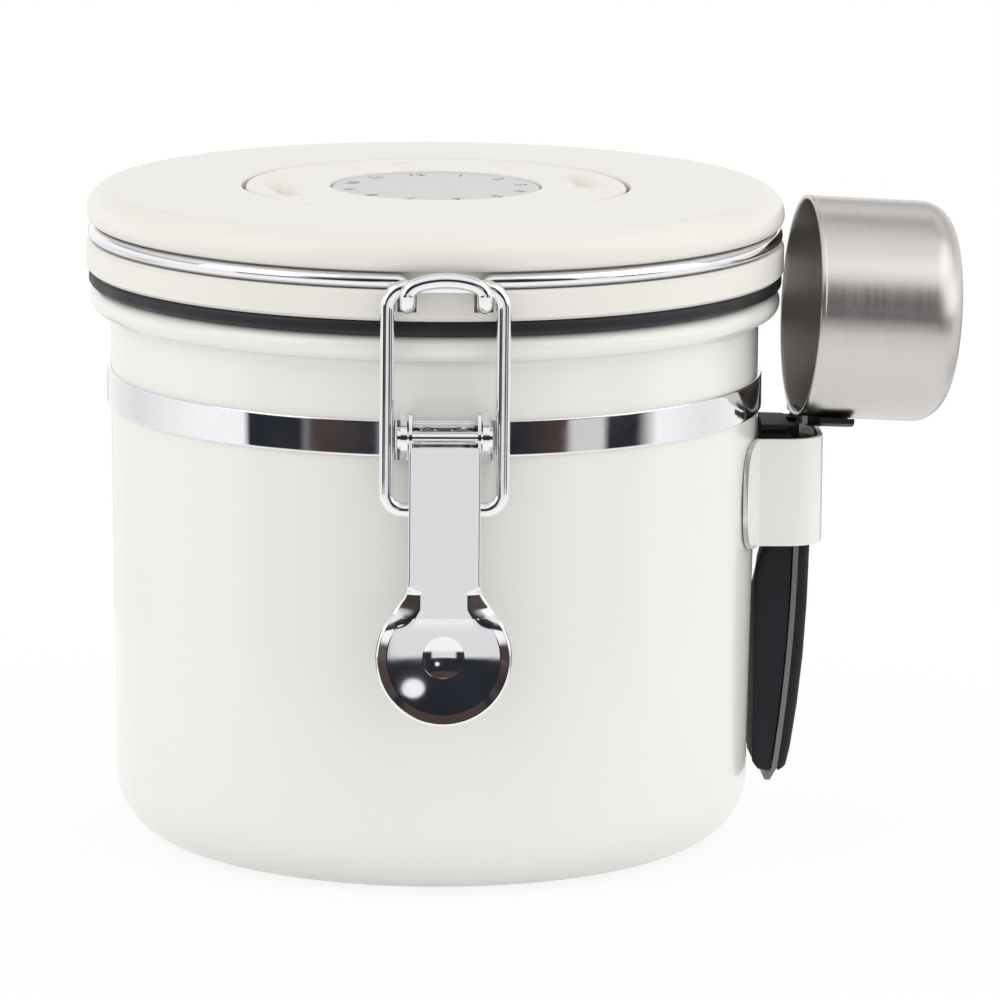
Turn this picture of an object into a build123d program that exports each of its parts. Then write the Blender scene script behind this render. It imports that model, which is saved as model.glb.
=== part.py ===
from build123d import *
import math
import os

# All sizes are in millimetres. The origin is the centre of the can's base, +Z is up,
# the latch faces -Y, the hinge is at +Y and the scoop hangs at +X.

# One length that every cut runs past the solid it cuts
overrun = 2.0

# Can: one drawn shell with a rolled rim
body_radius = 62.0
body_draft = 1.1
sheet_wall = 0.8
base_corner_radius = 12.0
straight_bottom_z = 82.0
rim_tube_radius = 2.4
rim_reach = 4.0
rim_top_z = 106.7
neck_height = 0.9

# Band clamped round the can's upper wall
band_rise = 1.9
band_height = 6.7
band_thickness = 0.7
band_fit = 0.05
band_edge_round = 0.2

# Plates riveted to the band, front and back
plate_thickness = 0.8
plate_height = 7.4
plate_fit = 0.02
latch_plate_half_width = 9.6
hinge_plate_half_width = 8.6
rivet_radius = 1.4
rivet_head_radius = 2.4
rivet_head_height = 0.7
rivet_fit = 0.03
latch_rivet_x = 3.0
hinge_rivet_x = 2.6

# Latch lever: a channel that turns on a pin in the bracket's ears, with a round thumb disc
lever_pin_reach = 6.4
lever_pin_rise = 4.7
lever_pin_radius = 1.2
pin_head_radius = 2.0
pin_head_height = 0.6
running_fit = 0.05
lever_half_width = 6.6
lever_sheet = 0.9
lever_corner_round = 1.3
lever_knuckle_radius = 3.2
lever_tip_radius = 2.1
lever_tip_rise = 2.3
lever_web_drop = 1.3
lever_channel_length = 28.0
lever_wall_depth = 6.4
lever_heel_rise = 6.0
lever_heel_depth = 1.9
lever_shoulder_drop = 7.5
disc_drop = 40.4
disc_radius = 12.5
disc_tilt = 4.0
disc_rim_height = 1.8
disc_floor_radius = 9.8
disc_lip_radius = 0.6
disc_boss_radius = 3.9
disc_boss_height = 0.5
disc_boss_slope = 0.6
ear_gap = 0.3
ear_thickness = 1.2
ear_round = 2.9
ear_height = 10.0
ear_drop = 5.7

# Wire loop that the lever pulls down on the bail's hook
loop_wire_radius = 1.4
loop_half_width = 10.6
loop_pivot_drop = 13.6
loop_pivot_setback = 1.2
loop_bar_reach = 6.7
loop_bar_rise = 9.8
loop_corner_radius = 3.8
loop_end_gap = 4.0

# Lid base: plug, flange and the root of the wire groove
flange_reach = 4.7
gasket_thickness = 2.7
gasket_gap = 0.3
flange_height = 5.7
flange_edge = 0.6
groove_depth = 3.3
groove_height = 3.2
spigot_wall = 1.8
spigot_height = 5.0
plug_gap = 2.9
plug_depth = 6.3
plug_wall = 1.8
plug_floor = 2.0
gasket_inset = 0.4
gasket_fit = 0.2
gasket_edge = 0.5

# Lid cap with the well for the turning ring
cap_lip_inset = 2.0
cap_bulge_rise = 2.2
cap_height = 7.2
cap_shoulder_inset = 4.7
cap_shoulder_drop = 0.25
cap_wall = 2.0
cap_fit = 0.2
well_radius = 37.2
well_depth = 4.6
well_edge_round = 0.7
well_floor = 1.6
boss_radius = 17.8
boss_height = 2.1

# Screws from below the plug up into the cap
screw_count = 4
screw_circle_inset = 9.3
screw_radius = 1.5
screw_head_radius = 2.7
screw_head_height = 1.8
screw_head_recess = 1.2
screw_length = 13.0
screw_slot_half_width = 0.375
screw_boss_radius = 3.7
screw_fit = 0.02
screw_head_fit = 0.2
boss_split_rise = 11.6

# Turning ring, its retainer, the number disc and the click stud
ring_gap = 0.8
ring_lift = 0.6
ring_top_drop = 0.15
ring_edge_round = 0.8
ring_step_gap = 0.4
ring_step_thickness = 1.2
ring_hole_fit = 0.4
retainer_radius = 19.9
retainer_thickness = 1.1
disc_plate_thickness = 0.8
grip_azimuth = 12.0
grip_inset = 7.1
grip_length = 20.0
grip_width = 6.4
grip_depth = 2.0
grip_edge_round = 0.6
pointer_azimuth = 102.0
pointer_inset = 5.8
pointer_length = 4.6
pointer_width = 7.4
pointer_depth = 0.7
click_count = 12
click_inset = 4.4
click_hole_radius = 1.2
click_hole_depth = 0.7
click_stud_radius = 1.6
click_stud_height = 0.2
click_dome_radius = 0.7

# Bail wire: it lies in the lid's groove, arches up in front and is hinged behind
bail_wire_radius = 1.4
bail_groove_gap = 0.2
bail_drop_in_groove = 1.65
hook_half_width = 7.0
hook_lead = 4.5
hook_under_bar = 3.3
hook_before_bar = 3.4
hook_top_rise = 1.7
hook_bend_radius = 1.8
hook_arch_radius = 3.0
notch_clearance = 0.35
hinge_reach = 8.0
hinge_rise = 15.6
bail_leg_x = 9.2
bail_leg_lead = 6.0
bail_leg_bend = 2.4
bail_end_x = 4.4
hinge_ear_thickness = 1.3
hinge_ear_inner_x = 5.0
hinge_ear_round = 3.2
hinge_ear_foot_height = 13.0

# One-way valve in the middle of the plug
valve_hole_radius = 12.0
valve_fit = 0.2
valve_flange_width = 3.0
valve_flange_drop = 1.5
valve_barrel_rise = 5.2
valve_wall = 1.6
valve_floor_drop = 0.5
valve_floor_thickness = 1.2
valve_stem_hole_radius = 1.3
valve_vent_count = 6
valve_vent_radius = 1.2
valve_vent_circle_radius = 5.0
filter_thickness = 0.4
filter_hole_radius = 2.6
filter_rows = 3
filter_first_row_count = 6
filter_row_step = 2.1
filter_perforation_radius = 0.55
filter_edge_fit = 0.2
filter_recess = 0.2
flap_edge_gap = 2.2
flap_thickness = 1.0
flap_lift = 0.05
flap_stem_radius = 1.2
flap_bulb_radius = 1.9
flap_bulb_height = 1.0
flap_bulb_gap = 0.7
cover_inset = 0.8
cover_thickness = 1.4
cover_spigot_height = 1.2
cover_spigot_wall = 1.2
cover_hole_count = 6
cover_hole_radius = 1.3
cover_hole_circle_radius = 5.6

# Strap that holds the scoop at the side
strap_drop = 21.4
strap_height = 20.8
strap_thickness = 1.0
strap_reach = 12.5
strap_half_width = 12.8
strap_flange_angle = 8.0
strap_outer_bend = 6.5
strap_root_bend = 1.3
strap_body_gap = 0.05
strap_end_curve_radius = 33.0
strap_lead = 1.25

# Scoop: cup, strip handle and bag clip, before it is leaned and twisted in its strap
scoop_lean = 1.7
scoop_twist = 2.0
cup_twist = 3.6
mouth_reach = 8.35
cup_drop = 4.2
cup_radius = 21.3
cup_wall = 0.7
cup_depth = 30.8
cup_end_corner = 8.5
cup_end_crown = 0.5
cup_rim_width = 0.45
cup_rim_length = 1.2
strip_thickness = 1.0
strip_width = 17.0
strip_top_rise = 1.25
strip_straight_length = 31.0
strip_foot_z = 13.4
strip_middle_z = 34.8
strip_middle_shift = 0.45
strip_foot_shift = 2.2
strip_tip_shift = 1.3
strip_tip_drop = 2.5
clip_pin_shift = 0.55
clip_pin_drop = 2.0
clip_pin_radius = 0.6
clip_pin_head_radius = 1.0
clip_pin_head_height = 0.3
clip_ear_thickness = 1.0
clip_ear_height = 3.6
knuckle_radius = 1.3
knuckle_side_inset = 1.8
knuckle_inner_y = 2.7
window_side_inset = 1.5
window_height = 3.6
window_drop = 1.9
arm_height = 2.0
jaw_side_inset = 0.3
cover_side_inset = 0.8
jaw_gap = 0.3
jaw_top_rise = 3.2
jaw_relief = 1.2
jaw_relief_rise = 1.3
jaw_top_depth = 9.15
jaw_waist_depth = 7.15
jaw_waist_z = 57.0
jaw_hip_depth = 8.15
jaw_hip_z = 50.0
jaw_low_depth = 8.55
jaw_low_z = 36.7
jaw_toe_depth = 7.35
jaw_toe_z = 16.5
jaw_foot_depth = 4.75
jaw_foot_z = 12.6
jaw_opening = 0.75
scoop_travel = 18.0
tab_gap = 0.5
tab_thickness = 1.0
tab_length = 9.0
cover_top_drop = 2.2
cover_top_reach = 2.25
cover_middle_reach = 2.05
cover_middle_z = 35.8
cover_low_reach = 0.45
cover_low_z = 17.8
cover_foot_depth = 1.55
cover_foot_z = 13.6
grip_rivet_radius = 1.0
grip_rivet_head_radius = 1.9
grip_rivet_head_height = 0.3
grip_rivet_top_z = 66.0
grip_rivet_low_z = 42.0
grip_rivet_inset = 0.15
grip_rivet_seat = 0.02
spring_wire_radius = 0.18
spring_coil_radius = 0.95
spring_turns = 5

# Places worked out from the sizes above
diagonal = math.sqrt(0.5)
band_bottom_z = straight_bottom_z + band_rise
lever_pin_y = -body_radius - lever_pin_reach
lever_pin_z = band_bottom_z + lever_pin_rise
loop_bar_y = -body_radius - loop_bar_reach
loop_bar_z = rim_top_z + loop_bar_rise
hinge_y = body_radius + hinge_reach
hinge_z = band_bottom_z + hinge_rise
flange_radius = body_radius + flange_reach
groove_root_radius = flange_radius - groove_depth
plug_radius = body_radius - sheet_wall - plug_gap
gasket_radius = flange_radius - gasket_inset
cap_radius = flange_radius
cap_lip_radius = cap_radius - cap_lip_inset
cap_shoulder_radius = cap_radius - cap_shoulder_inset
screw_circle_radius = plug_radius - screw_circle_inset
bail_ring_radius = groove_root_radius + bail_wire_radius + bail_groove_gap
valve_flange_radius = valve_hole_radius + valve_flange_width
cup_centre_z = rim_top_z - cup_drop
clip_pin_z = cup_centre_z - cup_radius - clip_pin_drop
strap_bottom_z = clip_pin_z - strap_drop
strap_outer_x = body_radius + strap_reach
mouth_x = body_radius + mouth_reach
clip_pin_x = mouth_x + clip_pin_shift
knuckle_outer_y = strip_width / 2 - knuckle_side_inset
window_half_width = strip_width / 2 - window_side_inset
jaw_width = strip_width - 2 * jaw_side_inset
cover_width = strip_width - 2 * cover_side_inset
tab_half_width = strip_width / 2
jaw_top_x = mouth_x - jaw_top_depth
jaw_waist_x = mouth_x - jaw_waist_depth
jaw_hip_x = mouth_x - jaw_hip_depth
jaw_low_x = mouth_x - jaw_low_depth
jaw_toe_x = mouth_x - jaw_toe_depth
jaw_foot_x = mouth_x - jaw_foot_depth
cover_top_x = mouth_x + cover_top_reach
cover_middle_x = mouth_x + cover_middle_reach
cover_low_x = mouth_x + cover_low_reach
cover_foot_x = mouth_x - cover_foot_depth
body_base_radius = body_radius - body_draft
rim_radius = body_radius + rim_reach
rim_centre_radius = rim_radius - rim_tube_radius
rim_centre_z = rim_top_z - rim_tube_radius
rim_bottom_z = rim_top_z - 2 * rim_tube_radius
band_inner_radius = body_radius + band_fit
band_outer_radius = band_inner_radius + band_thickness
band_middle_z = band_bottom_z + band_height / 2
plate_inner_radius = band_outer_radius + plate_fit
plate_outer_radius = plate_inner_radius + plate_thickness
lever_front_y = lever_pin_y - lever_knuckle_radius
lever_bottom_z = lever_pin_z - lever_channel_length
loop_pivot_y = lever_pin_y + loop_pivot_setback
loop_pivot_z = lever_pin_z - loop_pivot_drop
gasket_bottom_z = rim_top_z + gasket_gap
flange_bottom_z = gasket_bottom_z + gasket_thickness
flange_top_z = flange_bottom_z + flange_height
cap_lip_z = flange_top_z + groove_height
cap_top_z = cap_lip_z + cap_height
plug_bottom_z = flange_bottom_z - plug_depth
plug_floor_z = plug_bottom_z + plug_floor
boss_split_z = plug_bottom_z + boss_split_rise
well_floor_z = cap_top_z - well_depth
boss_top_z = well_floor_z + boss_height
ring_radius = well_radius - ring_gap
grip_centre_radius = ring_radius - grip_inset
pointer_centre_radius = ring_radius - pointer_inset
click_radius = ring_radius - click_inset
ring_bottom_z = well_floor_z + ring_lift
ring_top_z = cap_top_z - ring_top_drop
ring_step_z = ring_bottom_z + ring_step_thickness
ring_hole_radius = retainer_radius + ring_hole_fit
retainer_bottom_z = boss_top_z
retainer_top_z = retainer_bottom_z + retainer_thickness
bail_z = cap_lip_z - bail_drop_in_groove
hook_low_z = loop_bar_z - hook_under_bar
hook_front_y = loop_bar_y - hook_before_bar
hook_top_z = loop_bar_z + hook_top_rise
valve_top_z = plug_bottom_z + valve_barrel_rise
valve_bottom_z = plug_bottom_z - valve_flange_drop
valve_barrel_radius = valve_hole_radius - valve_fit
valve_bore_radius = valve_barrel_radius - valve_wall
flap_radius = valve_bore_radius - flap_edge_gap
cover_radius = valve_barrel_radius - cover_inset
valve_floor_z = plug_bottom_z - valve_floor_drop
strap_body_radius = body_radius + strap_body_gap + strap_thickness / 2
strip_x = mouth_x - strip_thickness / 2
strip_top_z = cup_centre_z - cup_radius + strip_top_rise


def outline(*curves):
    """A closed face from lines and arcs that follow one another in the plane."""
    return make_face(Curve() + list(curves))


def turned(face):
    """Turn a profile of radius and height round the Z axis."""
    return revolve(Plane.XZ * face, Axis.Z)


def polygon(points):
    return make_face(Polyline(*points, close=True))


def around(count, radius, start=0.0):
    """Places evenly spaced on a circle about the Z axis."""
    return [Rot(0, 0, start + 360.0 * i / count) * Pos(radius, 0, 0) for i in range(count)]


def disc_between(radius, low_z, high_z):
    return Pos(0, 0, low_z) * Cylinder(radius, high_z - low_z, align=(Align.CENTER, Align.CENTER, Align.MIN))


def rod_along_x(radius, low_x, high_x, y, z):
    rod = Cylinder(radius, high_x - low_x, align=(Align.CENTER, Align.CENTER, Align.MIN))
    return Pos(low_x, y, z) * Rot(0, 90, 0) * rod


def rod_along_y(radius, low_y, high_y, x, z):
    rod = Cylinder(radius, high_y - low_y, align=(Align.CENTER, Align.CENTER, Align.MIN))
    return Pos(x, low_y, z) * Rot(-90, 0, 0) * rod


def block(low, high):
    """A box between two corners."""
    size = [high[i] - low[i] for i in range(3)]
    return Pos(*low) * Box(*size, align=(Align.MIN, Align.MIN, Align.MIN))


def canister_body():
    corner = base_corner_radius
    inner_corner = corner - sheet_wall
    outer_start = body_base_radius - corner
    inner_base = body_base_radius - sheet_wall
    inner_top = body_radius - sheet_wall
    neck_z = rim_bottom_z - neck_height
    face = outline(
        Line((0, 0), (outer_start, 0)),
        ThreePointArc((outer_start, 0), (outer_start + corner * diagonal, corner - corner * diagonal),
                      (body_base_radius, corner)),
        Line((body_base_radius, corner), (body_radius, straight_bottom_z)),
        Line((body_radius, straight_bottom_z), (body_radius, neck_z)),
        Line((body_radius, neck_z), (rim_centre_radius, rim_bottom_z)),
        ThreePointArc((rim_centre_radius, rim_bottom_z), (rim_radius, rim_centre_z),
                      (rim_centre_radius, rim_top_z)),
        Line((rim_centre_radius, rim_top_z), (body_radius, rim_top_z)),
        ThreePointArc((body_radius, rim_top_z),
                      (body_radius - sheet_wall * diagonal, rim_top_z - sheet_wall + sheet_wall * diagonal),
                      (inner_top, rim_top_z - sheet_wall)),
        Line((inner_top, rim_top_z - sheet_wall), (inner_top, straight_bottom_z)),
        Line((inner_top, straight_bottom_z), (inner_base, corner)),
        ThreePointArc((inner_base, corner),
                      (outer_start + inner_corner * diagonal, corner - inner_corner * diagonal),
                      (outer_start, sheet_wall)),
        Line((outer_start, sheet_wall), (0, sheet_wall)),
        Line((0, sheet_wall), (0, 0)),
    )
    return turned(face)


def rivet_places():
    """X, front or back side, for each rivet of the two brackets."""
    return [(sign * x, side) for x, side in ((latch_rivet_x, -1), (hinge_rivet_x, 1)) for sign in (-1, 1)]


def rivet_rod(x, side, radius, inner, outer):
    """A rod across the band's wall, from one distance off the Z axis to another."""
    low, high = sorted((side * inner, side * outer))
    return rod_along_y(radius, low, high, x, band_middle_z)


def rivet_holes():
    holes = Part()
    for x, side in rivet_places():
        holes += rivet_rod(x, side, rivet_radius + rivet_fit, body_radius - overrun,
                           plate_outer_radius + overrun)
    return holes


def clamp_band():
    band = disc_between(band_outer_radius, band_bottom_z, band_bottom_z + band_height)
    band -= disc_between(band_inner_radius, band_bottom_z - overrun, band_bottom_z + band_height + overrun)
    rims = band.edges().filter_by(GeomType.CIRCLE).sort_by(SortBy.RADIUS)[-2:]
    band = fillet(rims, band_edge_round)
    return band - rivet_holes()


def band_rivets():
    rivets = []
    shank_start = body_radius + band_fit
    for x, side in rivet_places():
        face_y = math.sqrt(plate_outer_radius ** 2 - x ** 2)
        start_y = math.sqrt(shank_start ** 2 - (abs(x) - rivet_radius) ** 2)
        shank = rivet_rod(x, side, rivet_radius, start_y, face_y + rivet_head_height)
        head = rivet_rod(x, side, rivet_head_radius, face_y, face_y + rivet_head_height)
        head -= disc_between(plate_outer_radius, band_bottom_z - overrun,
                             band_bottom_z + band_height + overrun)
        rivets.append(shank + head)
    return rivets


def bracket_plate(half_width, side):
    """A curved plate against the band, on the front (-1) or the back (+1)."""
    low_z = band_middle_z - plate_height / 2
    plate = disc_between(plate_outer_radius, low_z, low_z + plate_height)
    plate -= disc_between(plate_inner_radius, low_z - overrun, low_z + plate_height + overrun)
    near, far = sorted((side * plate_inner_radius / 2, side * (plate_outer_radius + overrun)))
    return plate & block((-half_width, near, low_z - overrun), (half_width, far,
                                                                low_z + plate_height + overrun))


def pair_of_ears(profile, inner_x, thickness):
    """The same profile of Y and Z as two upright plates, mirrored in X."""
    right = Pos(inner_x, 0, 0) * extrude(Plane.YZ * profile, thickness)
    return right + mirror(right, Plane.YZ)


def latch_bracket():
    ear_inner = lever_half_width + ear_gap
    foot_y = -math.sqrt((plate_inner_radius + plate_thickness / 2) ** 2 - (ear_inner + ear_thickness) ** 2)
    low_z = lever_pin_z - ear_drop
    foot = Polyline((foot_y, low_z), (foot_y, low_z + ear_height), close=False)
    pin_round = Pos(lever_pin_y, lever_pin_z) * Circle(ear_round)
    profile = make_hull(foot.edges() + pin_round.edges())
    bracket = bracket_plate(latch_plate_half_width, -1) + pair_of_ears(profile, ear_inner, ear_thickness)
    reach = ear_inner + ear_thickness + overrun
    bracket -= rod_along_x(lever_pin_radius + rivet_fit, -reach, reach, lever_pin_y, lever_pin_z)
    return bracket - rivet_holes()


def latch_pin():
    reach = lever_half_width + ear_gap + ear_thickness
    pin = rod_along_x(lever_pin_radius, -reach, reach, lever_pin_y, lever_pin_z)
    for side in (-1, 1):
        low, high = sorted((side * reach, side * (reach + pin_head_height)))
        pin += rod_along_x(pin_head_radius, low, high, lever_pin_y, lever_pin_z)
    return pin


def thumb_disc():
    """A dished disc with a rolled rim and a low round boss, in its own frame with +Z outwards."""
    lip = disc_lip_radius
    rim_inner = disc_radius - 2 * lip
    face = outline(
        Line((0, 0), (disc_floor_radius, 0)),
        Line((disc_floor_radius, 0), (disc_radius, disc_rim_height)),
        ThreePointArc((disc_radius, disc_rim_height), (disc_radius - lip, disc_rim_height + lip),
                      (rim_inner, disc_rim_height)),
        Line((rim_inner, disc_rim_height), (disc_floor_radius, lever_sheet)),
        Line((disc_floor_radius, lever_sheet), (disc_boss_radius, lever_sheet)),
        Line((disc_boss_radius, lever_sheet), (disc_boss_radius - disc_boss_slope,
                                               lever_sheet + disc_boss_height)),
        Line((disc_boss_radius - disc_boss_slope, lever_sheet + disc_boss_height),
             (0, lever_sheet + disc_boss_height)),
        Line((0, lever_sheet + disc_boss_height), (0, 0)),
    )
    return turned(face)


def latch_lever():
    back_y = lever_front_y + lever_wall_depth
    web_back_y = lever_front_y + lever_sheet
    top_z = lever_pin_z + lever_tip_rise + lever_tip_radius + overrun
    section = Rectangle(2 * lever_half_width, lever_wall_depth + overrun, align=(Align.CENTER, Align.MIN))
    section = fillet(section.vertices().sort_by(Axis.Y)[:2], lever_corner_round)
    inner = Rectangle(2 * (lever_half_width - lever_sheet), lever_wall_depth + 2 * overrun,
                      align=(Align.CENTER, Align.MIN))
    section = Pos(0, lever_front_y) * (section - Pos(0, lever_sheet) * inner)
    channel = Pos(0, 0, lever_bottom_z) * extrude(section, top_z - lever_bottom_z)
    side = Polyline((lever_front_y, lever_pin_z), (lever_front_y, lever_bottom_z),
                    (web_back_y + lever_sheet, lever_bottom_z),
                    (back_y - lever_heel_depth / 2, lever_bottom_z + lever_heel_rise),
                    (back_y, loop_pivot_z), (back_y, lever_pin_z))
    knuckle = Pos(lever_pin_y, lever_pin_z) * Circle(lever_knuckle_radius)
    tip = Pos(lever_pin_y, lever_pin_z + lever_tip_rise) * Circle(lever_tip_radius)
    profile = make_hull(side.edges() + knuckle.edges() + tip.edges())
    reach = lever_half_width + overrun
    channel &= Pos(-reach, 0, 0) * extrude(Plane.YZ * profile, 2 * reach)
    clear_x = lever_half_width - lever_sheet
    channel -= block((-clear_x, lever_front_y - overrun, lever_pin_z - lever_web_drop),
                     (clear_x, web_back_y + lever_sheet, top_z + overrun))
    shoulder_z = lever_bottom_z - lever_shoulder_drop
    disc_z = lever_pin_z - disc_drop
    shoulder_x = math.sqrt(disc_radius ** 2 - (shoulder_z - disc_z) ** 2)
    neck = polygon([(-lever_half_width, lever_bottom_z + lever_sheet), (-shoulder_x, shoulder_z),
                    (shoulder_x, shoulder_z), (lever_half_width, lever_bottom_z + lever_sheet)])
    neck = Pos(0, web_back_y, 0) * extrude(Plane.XZ * neck, lever_sheet)
    tilt = math.radians(disc_tilt)
    disc_y = web_back_y - (shoulder_z - disc_z) * math.tan(tilt)
    seat = Plane(origin=(0, disc_y, disc_z), x_dir=(1, 0, 0), z_dir=(0, -math.cos(tilt), math.sin(tilt)))
    lever = channel + neck + seat * thumb_disc()
    lever -= rod_along_x(lever_pin_radius + running_fit, -reach, reach, lever_pin_y, lever_pin_z)
    lever -= rod_along_x(loop_wire_radius + running_fit, -reach, reach, loop_pivot_y, loop_pivot_z)
    return lever


def wire_along(path, radius):
    """A round wire swept along a path of lines and arcs."""
    start = path @ 0
    direction = path % 0
    return sweep(Plane(origin=start, z_dir=direction) * Circle(radius), path=path)


def latch_loop():
    rise = Vector(0, loop_bar_y - loop_pivot_y, loop_bar_z - loop_pivot_z)
    length = rise.length
    plane = Plane(origin=(0, loop_pivot_y, loop_pivot_z), x_dir=(1, 0, 0),
                  z_dir=Vector(1, 0, 0).cross(rise.normalized()))
    points = [(loop_end_gap, 0), (loop_half_width, 0), (loop_half_width, length),
              (-loop_half_width, length), (-loop_half_width, 0), (-loop_end_gap, 0)]
    points = [plane.from_local_coords(Vector(x, y, 0)) for x, y in points]
    lower = loop_half_width - loop_end_gap - running_fit
    radii = [min(loop_corner_radius, lower / 2), loop_corner_radius, loop_corner_radius,
             min(loop_corner_radius, lower / 2)]
    return wire_along(FilletPolyline(*points, radius=radii), loop_wire_radius)


def lead_angle(x, lead):
    """Angle off the Y axis at which the groove's circle, left along its tangent, reaches x."""
    reach = math.hypot(bail_ring_radius, lead)
    return math.asin(x / reach) + math.atan2(lead, bail_ring_radius)


def bail_corner(x, lead, side):
    """Point on the tangent of the groove's circle, a lead past the arc's end."""
    reach = math.hypot(bail_ring_radius, lead)
    return Vector(x, side * math.sqrt(reach ** 2 - x ** 2), bail_z)


def bail_wire():
    front = lead_angle(hook_half_width, hook_lead)
    back = lead_angle(bail_leg_x, bail_leg_lead)
    front_end = Vector(bail_ring_radius * math.sin(front), -bail_ring_radius * math.cos(front), bail_z)
    back_end = Vector(bail_ring_radius * math.sin(back), bail_ring_radius * math.cos(back), bail_z)
    corner = bail_corner(hook_half_width, hook_lead, -1)
    half = [front_end, corner, Vector(corner.X, corner.Y, hook_low_z),
            Vector(corner.X, hook_front_y, hook_low_z), Vector(corner.X, hook_front_y, hook_top_z)]
    hook = half + [Vector(-p.X, p.Y, p.Z) for p in reversed(half)]
    bends = [hook_bend_radius] * 3 + [hook_arch_radius]
    hook_path = FilletPolyline(*hook, radius=bends + bends[::-1])
    back_corner = bail_corner(bail_leg_x, bail_leg_lead, 1)
    leg = [back_end, back_corner, Vector(bail_leg_x, hinge_y, bail_z),
           Vector(bail_leg_x, hinge_y, hinge_z), Vector(bail_end_x, hinge_y, hinge_z)]
    leg_path = FilletPolyline(*leg, radius=bail_leg_bend)
    other_leg = FilletPolyline(*[Vector(-p.X, p.Y, p.Z) for p in leg], radius=bail_leg_bend)
    middle = Vector(bail_ring_radius, 0, bail_z)
    arc = ThreePointArc(front_end, middle, back_end)
    other_arc = ThreePointArc(Vector(-front_end.X, front_end.Y, bail_z), Vector(-middle.X, 0, bail_z),
                              Vector(-back_end.X, back_end.Y, bail_z))
    edges = leg_path.edges() + arc.edges() + hook_path.edges() + other_arc.edges() + other_leg.edges()
    path = Wire(edges)
    return wire_along(path, bail_wire_radius)


def screw_places():
    return around(screw_count, screw_circle_radius, 180.0 / screw_count)


def lid_base():
    edge = flange_edge
    inner_spigot = groove_root_radius - spigot_wall
    shelf_z = flange_bottom_z + spigot_wall
    face = polygon([
        (valve_hole_radius, plug_bottom_z), (plug_radius - edge, plug_bottom_z),
        (plug_radius, plug_bottom_z + edge), (plug_radius, flange_bottom_z),
        (flange_radius - edge, flange_bottom_z), (flange_radius, flange_bottom_z + edge),
        (flange_radius, flange_top_z - edge), (flange_radius - edge, flange_top_z),
        (groove_root_radius, flange_top_z), (groove_root_radius, flange_top_z + spigot_height),
        (inner_spigot, flange_top_z + spigot_height), (inner_spigot, shelf_z),
        (plug_radius - plug_wall, shelf_z), (plug_radius - plug_wall, plug_floor_z),
        (valve_hole_radius, plug_floor_z),
    ])
    base = turned(face)
    head_top_z = plug_bottom_z + screw_head_recess + screw_head_height
    for place in screw_places():
        base += place * disc_between(screw_boss_radius, plug_floor_z - plug_floor / 2, boss_split_z)
        base -= place * disc_between(screw_radius + screw_head_fit, plug_bottom_z - overrun,
                                     boss_split_z + overrun)
        base -= place * disc_between(screw_head_radius + screw_head_fit, plug_bottom_z - overrun, head_top_z)
    half = bail_wire_radius + notch_clearance
    corner = bail_corner(hook_half_width, hook_lead, -1)
    for side in (-1, 1):
        x = side * hook_half_width
        base -= block((x - half, -flange_radius - overrun, hook_low_z - half),
                      (x + half, corner.Y + half, flange_top_z + edge))
    return base


def gasket():
    inner = plug_radius + gasket_fit
    edge = gasket_edge
    return turned(polygon([
        (inner, gasket_bottom_z), (gasket_radius - edge, gasket_bottom_z), (gasket_radius,
                                                                            gasket_bottom_z + edge),
        (gasket_radius, flange_bottom_z - edge), (gasket_radius - edge, flange_bottom_z), (inner,
                                                                                           flange_bottom_z),
    ]))


def lid_cap():
    inner_lip = groove_root_radius + cap_fit
    bulge_z = cap_lip_z + cap_bulge_rise
    shoulder_z = cap_top_z - cap_shoulder_drop
    under_z = cap_top_z - cap_wall
    well_back = well_radius + cap_wall
    under_floor_z = well_floor_z - well_floor
    edge = well_edge_round
    face = outline(
        ThreePointArc((cap_lip_radius, cap_lip_z),
                      (cap_lip_radius + (cap_radius - cap_lip_radius) * diagonal,
                       cap_lip_z + cap_bulge_rise * (1 - diagonal)),
                      (cap_radius, bulge_z)),
        ThreePointArc((cap_radius, bulge_z),
                      (cap_shoulder_radius + (cap_radius - cap_shoulder_radius) * diagonal,
                       bulge_z + (shoulder_z - bulge_z) * diagonal),
                      (cap_shoulder_radius, shoulder_z)),
        Line((cap_shoulder_radius, shoulder_z), (well_radius + edge, cap_top_z)),
        ThreePointArc((well_radius + edge, cap_top_z), (well_radius + edge - edge * diagonal,
                                                        cap_top_z - edge + edge * diagonal),
                      (well_radius, cap_top_z - edge)),
        Polyline((well_radius, cap_top_z - edge), (well_radius, well_floor_z), (boss_radius, well_floor_z),
                 (boss_radius, boss_top_z), (0, boss_top_z), (0, under_floor_z), (well_back, under_floor_z),
                 (well_back, under_z), (cap_shoulder_radius - cap_wall, under_z), (inner_lip, bulge_z),
                 (inner_lip, cap_lip_z), (cap_lip_radius, cap_lip_z)),
    )
    cap = turned(face)
    for place in screw_places():
        cap += place * disc_between(screw_boss_radius, boss_split_z, under_z + cap_wall / 2)
        tip_z = plug_bottom_z + screw_head_recess + screw_head_height + screw_length
        cap -= place * disc_between(screw_radius + screw_fit, boss_split_z - overrun, tip_z)
    return cap


def lid_screws():
    head_z = plug_bottom_z + screw_head_recess
    screws = []
    for place in screw_places():
        head = disc_between(screw_head_radius, head_z, head_z + screw_head_height)
        shank = disc_between(screw_radius, head_z + screw_head_height,
                             head_z + screw_head_height + screw_length - screw_fit)
        slot = block((-screw_head_radius - overrun, -screw_slot_half_width, head_z - overrun),
                     (screw_head_radius + overrun, screw_slot_half_width, head_z + screw_head_height / 2))
        screws.append(place * (head + shank - slot))
    return screws


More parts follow.
